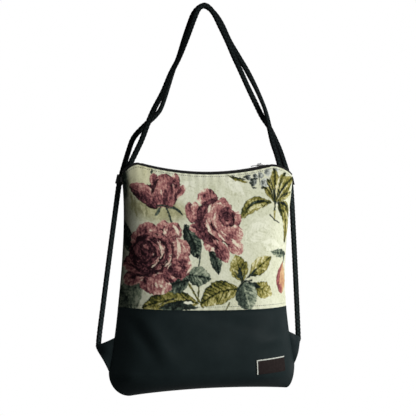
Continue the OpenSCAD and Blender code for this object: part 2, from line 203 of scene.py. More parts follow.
def grid_quads(rows: int, columns: int, start: int = 0, ring: bool = False) -> Array:
    """Quads of a grid of points numbered row by row.

    Args:
        rows: rows of points.
        columns: points in a row.
        start: number of the first point.
        ring: whether the last column joins the first.

    Returns:
        Array of quads, four point numbers each.
    """
    index = start + np.arange(rows * columns).reshape(rows, columns)
    near = index if ring else index[:, :-1]
    far = np.roll(index, -1, axis=1) if ring else index[:, 1:]
    quads = np.stack([near[:-1], near[1:], far[1:], far[:-1]], axis=-1)
    return quads.reshape(-1, 4)


def border(grid: Array) -> Array:
    """Point numbers once round the edge of a grid."""
    return np.concatenate([grid[0, :], grid[1:, -1], grid[-1, -2::-1], grid[-2:0:-1, 0]])


def sheet_faces(rows: int, columns: int, step: int = 1) -> list[Array]:
    """Faces of a closed sheet: an outer grid, a coarser inner grid and the rim between them.

    Args:
        rows: rows of points in the outer grid.
        columns: points in a row of it.
        step: outer points for each inner point, both ways.

    Returns:
        Face arrays over the outer points and then the inner points.
    """
    outer = np.arange(rows * columns).reshape(rows, columns)
    few = outer[::step, ::step].shape
    edge, under = border(outer), border(rows * columns + np.arange(few[0] * few[1]).reshape(few))
    runs = edge[(step * np.arange(len(under))[:, None] + np.arange(step + 1)) % len(edge)]
    rim = np.concatenate([runs, np.roll(under, -1)[:, None], under[:, None]], axis=1)
    return [grid_quads(rows, columns), grid_quads(*few, rows * columns)[:, ::-1], rim]


def tube_faces(rings: int, sides: int) -> list[Array]:
    """Faces of a closed tube: its wall and the cap at each end."""
    first = np.arange(sides)[None, :]
    return [grid_quads(rings, sides, ring=True), first, first[:, ::-1] + sides * (rings - 1)]


def listed(*grids: Array) -> Array:
    """Grids of points, one after the other, as one list of points."""
    return np.concatenate([grid.reshape(-1, grid.shape[-1]) for grid in grids])


def make_object(name: str, points: Array, faces: Sequence[Array], material: bpy.types.Material,
                uv: Array | None = None, colour: Array | None = None,
                crease: float = 50.0) -> bpy.types.Object:
    """Makes a smooth mesh object at the origin.

    Args:
        name: object name.
        points: points in millimetres, three values each.
        faces: arrays of faces, each with one corner count.
        material: material of every face.
        uv: flat coordinates of the points in metres, or None.
        colour: linear colours of the points for the attribute "yarn", or None.
        crease: angle in degrees beyond which an edge stays sharp.

    Returns:
        The object, linked to the scene.
    """
    mesh = bpy.data.meshes.new(name)
    corners = np.concatenate([f.ravel() for f in faces]).astype(np.int32)
    sizes = np.concatenate([np.full(len(f), f.shape[1]) for f in faces])
    mesh.vertices.add(len(points))
    mesh.vertices.foreach_set("co", (points * MM).astype(np.float32).ravel())
    mesh.loops.add(len(corners))
    mesh.loops.foreach_set("vertex_index", corners)
    mesh.polygons.add(len(sizes))
    mesh.polygons.foreach_set("loop_start", (np.cumsum(sizes) - sizes).astype(np.int32))
    mesh.polygons.foreach_set("use_smooth", np.ones(len(sizes), dtype=bool))
    mesh.update(calc_edges=True)
    mesh.validate()
    mesh.set_sharp_from_angle(angle=math.radians(crease))
    if uv is not None:
        layer = mesh.uv_layers.new(name="cloth")
        layer.uv.foreach_set("vector", uv[corners].astype(np.float32).ravel())
    if colour is not None:
        shade = np.concatenate([colour, np.ones((len(colour), 1))], axis=1)
        layer = mesh.color_attributes.new("yarn", "FLOAT_COLOR", "POINT")
        layer.data.foreach_set("color", shade.astype(np.float32).ravel())
    mesh.materials.append(material)
    made = bpy.data.objects.new(name, mesh)
    bpy.context.scene.collection.objects.link(made)
    return made


def settle(made: bpy.types.Object, node: str | None = None) -> None:
    """Lets a piece ride on the bag and reports it.

    Args:
        made: the piece.
        node: CAD node that the piece stands for, or None.
    """
    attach(made, "bag")
    if node:
        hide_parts(node)
    LOG.info("%s: %d faces", made.name, len(made.data.polygons))


@dataclass(frozen=True)
class Finish:
    """Surface of one real material; a subclass wires its nodes."""

    name: str
    roughness: float = 0.6

    def material(self) -> bpy.types.Material:
        """Makes the material once and gives it again later.

        Returns:
            The material with its nodes wired.
        """
        known = bpy.data.materials.get(self.name)
        if known:
            return known
        made = bpy.data.materials.new(self.name)
        tree = bare_tree(made)
        shader = add(tree, "ShaderNodeBsdfPrincipled", {"Roughness": self.roughness})
        add(tree, "ShaderNodeOutputMaterial", {"Surface": shader.outputs[0]})
        self.wire(tree, shader)
        return made

    def wire(self, tree: bpy.types.NodeTree, shader: bpy.types.Node) -> None:
        """Adds the nodes of this finish to the shader; a subclass fills it."""
        raise NotImplementedError


@dataclass(frozen=True)
class WovenYarn(Finish):
    """Yarn colours held in the mesh, with a fine rib along both directions of the weave."""

    rib: float = 1.1
    rib_depth: float = 0.12
    sheen: float = 0.1
    shine: float = 0.02

    def wire(self, tree: bpy.types.NodeTree, shader: bpy.types.Node) -> None:
        """Feeds the yarn attribute to the colour and two crossed waves to the bump.

        Args:
            tree: node tree of the material.
            shader: its Principled node.
        """
        yarn = add(tree, "ShaderNodeVertexColor", layer_name="yarn")
        uv = add(tree, "ShaderNodeUVMap", uv_map="cloth")
        scale = 1.0 / (self.rib * MM)
        cells = add(tree, "ShaderNodeMapping", {"Vector": uv.outputs[0], "Scale": (scale, scale, scale)})
        wave = {"Vector": cells.outputs[0], "Scale": ONE_WAVE, "Distortion": 0.6}
        warp, weft = (add(tree, "ShaderNodeTexWave", wave, bands_direction=way) for way in "XY")
        cross = add(tree, "ShaderNodeMath", {0: warp.outputs["Fac"], 1: weft.outputs["Fac"]},
                    operation="ADD")
        bump = add(tree, "ShaderNodeBump", {"Height": cross.outputs[0], "Strength": 0.6,
                                            "Distance": self.rib_depth * MM})
        plug(tree, shader, {"Base Color": yarn.outputs["Color"], "Normal": bump.outputs[0],
                            "Sheen Weight": self.sheen, "Specular IOR Level": self.shine})


@dataclass(frozen=True)
class Grained(Finish):
    """One colour with a pressed or spun grain in the surface."""

    colour: str = "#222a2b"
    shade: str = "#181e1f"
    cloud: float = 22.0
    grain: float = 1.4
    grain_depth: float = 0.08
    gloss: float = 0.5

    def wire(self, tree: bpy.types.NodeTree, shader: bpy.types.Node) -> None:
        """Mixes two near shades by soft noise and bumps the surface by the grain.

        Args:
            tree: node tree of the material.
            shader: its Principled node.
        """
        place = add(tree, "ShaderNodeTexCoord").outputs["Object"]
        cloud = add(tree, "ShaderNodeTexNoise", {"Vector": place, "Scale": 1.0 / (self.cloud * MM),
                                                 "Detail": 3.0})
        colour = add(tree, "ShaderNodeMix", {"Factor": cloud.outputs["Fac"], "A": rgba(self.shade),
                                             "B": rgba(self.colour)}, data_type="RGBA")
        pits = add(tree, "ShaderNodeTexVoronoi", {"Vector": place, "Scale": 1.0 / (self.grain * MM)},
                   feature="SMOOTH_F1")
        bump = add(tree, "ShaderNodeBump", {"Height": pits.outputs["Distance"], "Strength": 0.5,
                                            "Distance": self.grain_depth * MM})
        plug(tree, shader, {"Base Color": colour.outputs["Result"], "Normal": bump.outputs[0],
                            "Specular IOR Level": self.gloss})


@dataclass(frozen=True)
class DarkMetal(Finish):
    """Dark painted metal with a soft shine."""

    colour: str = "#3a3b3c"
    metallic: float = 0.7

    def wire(self, tree: bpy.types.NodeTree, shader: bpy.types.Node) -> None:
        """Sets one metallic colour."""
        plug(tree, shader, {"Base Color": rgba(self.colour), "Metallic": self.metallic})


# Tapestry: matt and coloured by its yarns, with a rib that breaks the light.
TAPESTRY = WovenYarn("floral_tapestry", roughness=0.95, sheen=0.0)
# Leatherette: smooth black-green skin, so broad soft highlights run over its bulges.
LEATHERETTE = Grained("black_green_leatherette", roughness=0.5, colour="#1e2728", shade="#161e1f",
                      gloss=0.035)
# Braided strap: dark yarns whose plaits show as fine slanting light and dark, from a bump and from painted
# shade in the mesh colour.
BRAID = WovenYarn("braided_strap_yarn", roughness=0.8, rib=1.6, rib_depth=0.15, sheen=0.05)
# Zip tape: dull black weave that reads as one dark line.
ZIP_TAPE = Grained("zip_tape_weave", roughness=0.9, colour="#141515", shade="#0b0c0c", grain=0.8, gloss=0.2)
# Moulded teeth: black plastic with small bright tops.
TEETH = Grained("moulded_zip_teeth", roughness=0.38, colour="#1a1b1b", shade="#151616", grain=2.0,
                grain_depth=0.01)
# Zip metal: dark painted slider and pull that catch the light at their edges.
ZIP_METAL = DarkMetal("dark_painted_zip_metal", roughness=0.5, colour="#121313", metallic=0.1)
# Lining: plain dark cloth that stays in shadow.
LINING = Grained("plain_lining_cloth", roughness=0.95, colour="#2a2b2b", shade="#202121", grain=0.9,
                 gloss=0.2)
# Label: dark bare patch with a pale edge, coloured by its mesh.
LABEL = WovenYarn("bare_label_patch", roughness=0.55, rib=0.9, rib_depth=0.05, sheen=0.0)
# Thread: dark stitches that dot the edges of the cloth.
THREAD = Grained("dark_sewing_thread", roughness=0.8, colour="#2a2a22", shade="#1c1c18", grain=0.5,
                 gloss=0.2)


@dataclass(frozen=True)
class BagForm:
    """Form of the hanging bag in millimetres, the same as in the CAD source.

    A place on the cloth is s from -1 to 1 across, and v down: 0 at the top edge, 1 at the seam,
    2 where the bottom starts to round and 3 at the fold under the bag.
    """

    bag_h: float = 400.0
    top_w: float = 322.0
    waist_w: float = 306.0
    base_w: float = 348.0
    waist_up: float = 247.0
    top_shift: float = 10.0
    hang_drop: float = 277.0
    front_depth: float = 46.0
    back_depth: float = 36.0
    mouth: float = 11.0
    mouth_square: float = 14.0
    base_square: float = 4.0
    peak_gap: float = 250.0
    zip_sag: float = 16.0
    corner_drop: float = 18.0
    base_h: float = 150.0
    seam_dip: float = 4.0
    seam_tilt: float = 3.0
    bottom_r: float = 40.0
    left_corner: float = 38.0
    right_corner: float = 16.0
    bottom_lift: float = 7.0
    seam_half: float = 0.15
    cloth_off: float = 1.5

    @property
    def z_peak(self) -> float:
        """Height of the top corners' peaks."""
        return -self.hang_drop

    @property
    def z_bottom(self) -> float:
        """Height of the lowest point."""
        return self.z_peak - self.bag_h

    @property
    def z_seam(self) -> float:
        """Height where the seam meets the sides."""
        return self.z_bottom + self.base_h

    @property
    def z_round(self) -> float:
        """Height where the bottom starts to round."""
        return self.z_bottom + self.bottom_r

    @property
    def z_waist(self) -> float:
        """Height of the narrowest width."""
        return self.z_bottom + self.waist_up

    @property
    def arc_r(self) -> float:
        """Radius of the sagging zip."""
        return ((self.peak_gap / 2) ** 2 + self.zip_sag ** 2) / (2 * self.zip_sag)

    @property
    def arc_z(self) -> float:
        """Height of the centre of the zip's arc."""
        return self.z_peak - self.zip_sag + self.arc_r

    def level_z(self, v: Array) -> Array:
        """Height of level v at the sides, before the rounding."""
        above = mix(self.z_peak, self.z_seam, v)
        below = mix(self.z_seam, self.z_round, v - 1)
        return np.where(v <= 1, above, np.where(v <= 2, below, self.z_round))

    def round_angle(self, v: Array) -> Array:
        """Angle of the rounding under the bag, 0 to a right angle."""
        return np.pi / 2 * np.maximum(v - 2, 0)

    def half_width(self, s: Array, v: Array) -> Array:
        """Half the width at level v.

        The width grows with the square of the height above the waist and below it, and the
        corners take off their reach times one less the cosine of the rounding.

        Args:
            s: place across, whose sign picks the corner.
            v: level.

        Returns:
            Half widths.
        """
        z = self.level_z(v)
        above = (z - self.z_waist) / (self.z_peak - self.z_waist)
        below = (self.z_waist - z) / (self.z_waist - self.z_round)
        width = np.where(z > self.z_waist, mix(self.waist_w, self.top_w, above ** 2),
                         mix(self.waist_w, self.base_w, below ** 2))
        corner = np.where(np.asarray(s) < 0, self.left_corner, self.right_corner)
        return width / 2 - corner * (1 - np.cos(self.round_angle(v)))

    def centre_x(self, v: Array) -> Array:
        """Middle of level v, which eases to one side towards the top."""
        return self.top_shift * ease((self.level_z(v) - self.z_seam) / (self.z_peak - self.z_seam))

    def top_z(self, s: Array) -> Array:
        """Height of the top edge: the zip's arc between the peaks, and a parabola down to each corner.

        Args:
            s: place across.

        Returns:
            Heights.
        """
        top = np.float64(0)
        half = self.half_width(s, top)
        x = self.centre_x(top) + half * s
        corner = np.abs(self.centre_x(top) + half * np.sign(s))
        past = (np.abs(x) - self.peak_gap / 2) / (corner - self.peak_gap / 2)
        arc = self.arc_z - np.sqrt(self.arc_r ** 2 - x ** 2)
        return np.where(past < 0, arc, self.z_peak - self.corner_drop * past ** 2)

    def seam_z(self, s: Array) -> Array:
        """Height of the seam, which dips in the middle and drops to the right."""
        return self.z_seam - self.seam_dip * (1 - s * s) - self.seam_tilt * s

    def cloth_z(self, s: Array, v: Array) -> Array:
        """Height of a place on the cloth.

        Args:
            s: place across.
            v: level.

        Returns:
            Heights, blended between the top edge, the seam and the rounding.
        """
        deep = self.bottom_r - self.bottom_lift * (1 - s * s)
        low = self.z_round - deep * np.sin(self.round_angle(v))
        above = mix(self.top_z(s), self.seam_z(s), v)
        below = mix(self.seam_z(s), self.z_round, v - 1)
        return np.where(v <= 1, above, np.where(v <= 2, below, low))

    def depth(self, v: Array, side: Side) -> Array:
        """Depth of the wall from the middle plane.

        It grows from the mouth with a quarter sine of the height and falls with the cosine of the rounding.

        Args:
            v: level.
            side: front or back.

        Returns:
            Depths.
        """
        full = np.sin(np.pi / 2 * (self.z_peak - self.level_z(v)) / (self.z_peak - self.z_round))
        fullest = self.front_depth if side is Side.FRONT else self.back_depth
        return mix(self.mouth, fullest, full) * np.cos(self.round_angle(v))

    def crown(self, s: Array, v: Array) -> Array:
        """Share of the depth at s: one less a power of s that is squarer at the mouth."""
        share = (self.level_z(v) - self.z_round) / (self.z_peak - self.z_round)
        return 1 - np.abs(s) ** mix(self.base_square, self.mouth_square, share ** 3)

    def point(self, s: Array, v: Array, side: Side, off: Any, inset: float = 0.0,
              less: float = 0.0) -> Array:
        """Point on the cloth.

        Args:
            s: place across.
            v: level.
            side: front or back.
            off: distance out from the middle plane's cloth.
            inset: narrowing of each side.
            less: depth taken off for an inner layer.

        Returns:
            Points in millimetres.
        """
        turn = self.round_angle(v)
        x = self.centre_x(v) + (self.half_width(s, v) - inset) * s
        deep = np.maximum(self.depth(v, side) - less * np.cos(turn), 0)
        y = side * (deep * self.crown(s, v) + off * np.cos(turn))
        z = self.cloth_z(s, v) + (less - off) * np.sin(turn)
        return np.stack(np.broadcast_arrays(x, y, z), axis=-1)

    def base_level(self, z: Array) -> Array:
        """Level of a height at the base's side seam, the reverse of the rounding's sine."""
        curved = 2 + np.arcsin(np.clip((self.z_round - z) / self.bottom_r, 0, 1)) / (np.pi / 2)
        return np.where(z >= self.z_round, 1 + (self.z_seam - z) / (self.z_seam - self.z_round), curved)

    def side_point(self, z: Array, hand: Hand) -> Array:
        """Points on the side seam of the base at heights z."""
        x = hand * self.half_width(hand, self.base_level(z))
        return np.stack(np.broadcast_arrays(x, 0.0, z), axis=-1)

    def across(self, count: int, v: float, side: Side) -> Array:
        """Places across that are evenly spaced along the cloth at one level.

        Args:
            count: places.
            v: level whose length is shared out.
            side: front or back.

        Returns:
            Values of s from -1 to 1.
        """
        s = np.linspace(-1, 1, FINE)
        length = stations(self.point(s, np.float64(v), side, self.cloth_off))
        even = np.interp(np.linspace(0, length[-1], count), length, s)
        return np.clip(even, -1, 1)


@dataclass(frozen=True)
class Dent:
    """Soft push of the cloth: a bell over an ellipse, outward when deep is above 0."""

    x: float
    z: float
    wide: float
    tall: float
    turn: float
    deep: float

    def lift(self, x: Array, z: Array) -> Array:
        """Outward push at places seen from the front.

        Args:
            x: places across.
            z: heights.

        Returns:
            Pushes in millimetres.
        """
        c, s = math.cos(math.radians(self.turn)), math.sin(math.radians(self.turn))
        along = ((x - self.x) * c + (z - self.z) * s) / self.wide
        over = ((z - self.z) * c - (x - self.x) * s) / self.tall
        return self.deep * np.exp(-along ** 2 - over ** 2)


class Yarns(Enum):
    """Yarn colours of the tapestry, from the darkest to the lightest."""

    ECRU = ("#aeae86", "#d2d4b9", "#e8e9d4")
    STRAW = ("#8e8c68", "#b6b48c", "#dcdab6")
    ROSE = ("#24161a", "#4e3036", "#7e4e50", "#aa726e", "#c89c90", "#e8dcc4")
    OLIVE = ("#1c2218", "#404424", "#706c34", "#968e50", "#c4be84", "#dedab8")
    DARK = ("#161c1a", "#303a34", "#566254", "#848e78", "#b0b69e")
    BLOSSOM = ("#2a302c", "#868c86", "#cfd3c8")
    PEACH = ("#7c3c44", "#a86a64", "#c49a72", "#d4b48a")

    def blend(self, tone: Array) -> Array:
        """Colours for tones from 0 to 1, blended between the neighbouring yarns.

        Args:
            tone: tones.

        Returns:
            Linear colours, three values each.
        """
        shades = np.stack([linear(code) for code in self.value])
        place = np.clip(tone, 0, 1) * (len(shades) - 1)
        return np.stack([np.interp(place, np.arange(len(shades)), shades[:, c]) for c in range(3)], axis=-1)


@dataclass
class Cloth:
    """A piece of tapestry that motifs are woven into, over flat places in millimetres."""

    x: Array
    y: Array
    wander: float = 2.2
    ragged: float = 3.0
    ground: float = 0.62
    cloudy: float = 0.3
    mottle: float = 0.6
    flecked: float = 0.28
    yarn_mottle: float = 0.7
    rgb: Array = field(init=False)
    fine: Array = field(init=False)

    def __post_init__(self) -> None:
        """Weaves the ground: pale yarns in soft clouds with fine flecks, and ragged motif edges."""
        x, y = self.x, self.y
        self.fine = 0.5 * noise(x / 1.4, y / 1.4, 3.0) + 0.5 * noise(x / 2.2, y / 3.6, 4.0)
        clouds, flecks = noise(x / 21.0, y / 16.0, 5.0), noise(x / 2.6, y / 1.7, 9.0)
        tone = self.ground + self.cloudy * (clouds - 0.5) + self.mottle * (self.fine - 0.5)
        tone = tone - self.flecked * ease((flecks - 0.74) / 0.2)
        self.rgb = Yarns.ECRU.blend(tone)
        self.x, self.y = (
            place + self.wander * (noise(x / self.ragged, y / self.ragged, seed) - 0.5)
            for place, seed in ((x, 11.0), (y, 13.0)))

    def near(self, low: Point, high: Point) -> Array:
        """Numbers of the places inside a box.

        Args:
            low: lowest corner.
            high: highest corner.

        Returns:
            Indices into the flat arrays.
        """
        inside = (self.x > low[0]) & (self.x < high[0]) & (self.y > low[1]) & (self.y < high[1])
        return np.nonzero(inside)[0]

    def lay(self, where: Array, cover: Array, yarns: Yarns, tone: Array) -> None:
        """Lays yarns over places.

        Args:
            where: numbers of the places.
            cover: how far the yarns hide what is there, 0 to 1.
            yarns: yarn colours.
            tone: tones of the yarns, which the fine flecks then mottle.
        """
        mottled = tone + self.yarn_mottle * (self.fine[where] - 0.5)
        self.rgb[where] += (yarns.blend(mottled) - self.rgb[where]) * cover[:, None]


@dataclass(frozen=True)
class Blade:
    """A leaf or petal on a bowed line from root to tip.

    Its half width is a power of the sine along the line, and swell moves the fullest place to the tip.
    """

    root: Point
    tip: Point
    half: float
    yarns: Yarns
    bow: float = 0.0
    swell: float = 1.0
    fullness: float = 0.8
    tone: float = 0.5
    fade: float = 0.0
    lean: float = 0.15
    rib: float = 0.0
    veins: float = 0.0
    rim: float = 0.0
    streak: float = 0.3
    patch: float = 0.2
    slant: float = 0.0
    jag: float = 0.0
    soft: float = 1.2
    rib_wide: float = 1.5
    rim_wide: float = 3.0
    vein_pitch: float = 7.5
    patch_size: float = 10.0

    def weave(self, cloth: Cloth) -> None:
        """Weaves the blade.

        Tone is the base tone, a slope across and along, soft patches, a dark midrib, slanting veins and
        streaks, and a rim that is lighter or darker. A vein is where the way along less a share of the
        way out is constant.

        Args:
            cloth: cloth to weave into.
        """
        root, tip = np.array(self.root), np.array(self.tip)
        room = self.half + abs(self.bow) + 4
        where = cloth.near(tuple(np.minimum(root, tip) - room), tuple(np.maximum(root, tip) + room))
        along = tip - root
        length = float(np.linalg.norm(along))
        along = along / length
        dx, dy = cloth.x[where] - root[0], cloth.y[where] - root[1]
        u = (dx * along[0] + dy * along[1]) / length
        inner = np.clip(u, 0, 1)
        w = dy * along[0] - dx * along[1] - self.bow * 4 * inner * (1 - inner)
        width = self.half * np.sin(np.pi * inner ** self.swell) ** self.fullness
        vein = u * length - self.slant * np.abs(w)
        width = width * (1 + self.jag * (noise(u * length / 4.5, np.sign(w), self.tip[0]) - 0.6))
        depth = width - np.abs(w)
        cover = ease(depth / self.soft) * (u > 0) * (u < 1)
        share = w / np.maximum(width, 0.5)
        patches = noise(dx / self.patch_size, dy / self.patch_size, self.tip[1])
        along_line = noise(u * length / 10.0, w / 2.0, self.root[0])
        along_vein = noise(vein / 3.2, w / 9.0, self.root[0])
        streaks = along_vein if self.slant else along_line
        tone = self.tone + self.fade * (u - 0.5) + self.lean * share
        tone = tone + self.streak * (streaks - 0.5) + self.patch * (patches - 0.5)
        tone = tone - self.rib * np.exp(-(w / self.rib_wide) ** 2)
        waves = np.cos(2 * np.pi * (vein / self.vein_pitch + 0.4 * patches))
        tone = tone - self.veins * ease((waves - 0.4) / 0.5)
        tone = tone + self.rim * ease(1 - depth / self.rim_wide)
        cloth.lay(where, cover, self.yarns, tone)


def leaf(root: Point, tip: Point, half: float, yarns: Yarns = Yarns.OLIVE, **more: float) -> Blade:
    """A blade with the look of a leaf: dark midrib, veins and a toothed edge."""
    plain = Blade(root, tip, half, yarns, tone=0.55, rib=0.55, veins=0.26, jag=0.16, lean=0.22, rim=-0.18,
                  streak=0.45, patch=0.45, slant=0.9)
    return replace(plain, **more)


def blade(root: Point, tip: Point, half: float, bow: float, tone: float) -> Blade:
    """A long smooth leaf with a pale middle, olive edges and a dark midrib."""
    return Blade(root, tip, half, Yarns.OLIVE, bow, fullness=0.7, tone=tone, lean=0.12, rib=0.75, rim=-0.3,
                 streak=0.6, patch=0.3, jag=0.12)


def petal(root: Point, tip: Point, half: float, yarns: Yarns = Yarns.ROSE, **more: float) -> Blade:
    """A blade with the look of a petal: full towards its tip, streaked, with a pale rim."""
    plain = Blade(root, tip, half, yarns, tone=0.45, swell=1.6, fullness=0.6, fade=0.3, rim=0.06,
                  streak=0.5, patch=0.5, jag=0.16)
    return replace(plain, **more)


def stroke(root: Point, tip: Point, half: float, bow: float = 0.0, tone: float = 1.0,
           yarns: Yarns = Yarns.ROSE) -> Blade:
    """A thin blade of one tone, such as the pale edge or the dark fold of a petal."""
    return Blade(root, tip, half, yarns, bow, fullness=0.6, tone=tone, lean=0.0, streak=0.2, patch=0.3,
                 jag=0.3)


def strokes(yarns: Yarns, *rows: tuple[Any, ...]) -> list[Blade]:
    """Strokes of one kind of yarn, each from a row of its root, tip, half width, bow and tone."""
    return [stroke(*row, yarns=yarns) for row in rows]


@dataclass(frozen=True)
class Rose:
    """A full flower seen from the front: lobed layers laid from the outside in, towards its heart."""

    centre: Point
    radius: float
    heart: Point
    yarns: Yarns = Yarns.ROSE
    layers: int = 7
    petals: int = 6
    tone: float = 0.62
    phase: float = 0.0
    lobes: float = 0.16
    uneven: float = 0.14
    fold: float = 0.6
    rim: float = 0.75
    rim_wide: float = 3.8
    inner: float = 0.4

    def weave(self, cloth: Cloth) -> None:
        """Weaves the layers.

        A layer's edge is a circle with lobes, and its tone falls from a rim, pale to the right, to a
        dark fold.

        Args:
            cloth: cloth to weave into.
        """
        centre, heart = np.array(self.centre), np.array(self.heart)
        where = cloth.near(tuple(centre - 1.25 * self.radius), tuple(centre + 1.25 * self.radius))
        px, py = cloth.x[where], cloth.y[where]
        band = self.radius / self.layers
        for k in range(self.layers):
            share = 1 - k / self.layers
            at = mix(heart, centre, share)
            dx, dy = px - at[0], py - at[1]
            seen = np.arctan2(dy, dx)
            angle = seen + self.phase + 1.9 * k + 0.25 * (noise(px / 12.0, py / 12.0, k) - 0.5)
            count = max(self.petals - k // 2, 3)
            turn = np.mod(angle / (2 * np.pi) * count, count)
            lot = hashed(np.floor(turn), np.full_like(turn, k), self.centre[0])
            lobe = np.sin(np.pi * (turn - np.floor(turn))) ** 0.6
            edge = self.radius * share * (0.82 + self.lobes * lobe + self.uneven * (lot - 0.5))
            depth = edge - np.hypot(dx, dy)
            fall = np.clip(depth / (1.3 * band), 0, 1)
            sunny = 0.5 + 0.5 * np.cos(seen)
            arcs = noise(depth / 1.6, angle * share * self.radius / 9.0, k + self.centre[1])
            tone = self.tone + 0.24 * (lot - 0.5) + 0.34 * (sunny - 0.5) + 0.6 * (arcs - 0.5)
            tone = tone - self.fold * fall ** 1.3
            broken = ease((noise(seen * 4.0 + k, seen * 0 + k, self.centre[0]) - 0.42) / 0.2)
            pale = self.rim * ease(1 - depth / self.rim_wide) * sunny ** 2 * broken
            tone = tone + pale - self.inner * (1 - share)
            cloth.lay(where, ease(depth / 1.2), self.yarns, tone)


@dataclass(frozen=True)
class Stem:
    """A stem woven along a line of points."""

    line: tuple[Point, ...]
    width: float = 2.2
    yarns: Yarns = Yarns.OLIVE
    tone: float = 0.25
    soft: float = 1.2

    def weave(self, cloth: Cloth) -> None:
        """Weaves the stem where the nearest of its runs is closer than half its width.

        Args:
            cloth: cloth to weave into.
        """
        line = np.array(self.line)
        room = self.width + 3
        where = cloth.near(tuple(line.min(axis=0) - room), tuple(line.max(axis=0) + room))
        place = np.stack([cloth.x[where], cloth.y[where]], axis=-1)[:, None, :]
        start, run = line[:-1], np.diff(line, axis=0)
        share = np.clip(((place - start) * run).sum(axis=2) / (run ** 2).sum(axis=1), 0, 1)
        gap = np.linalg.norm(place - start - share[..., None] * run, axis=2).min(axis=1)
        cover = ease((self.width / 2 + self.soft / 2 - gap) / self.soft)
        cloth.lay(where, cover, self.yarns, np.full(len(where), self.tone))


def blossom(x: float, y: float, radius: float, tone: float = 0.82) -> Rose:
    """A small grey blossom with a dark middle."""
    return Rose((x, y), radius, (x, y), Yarns.BLOSSOM, layers=2, petals=5, tone=tone, phase=x)


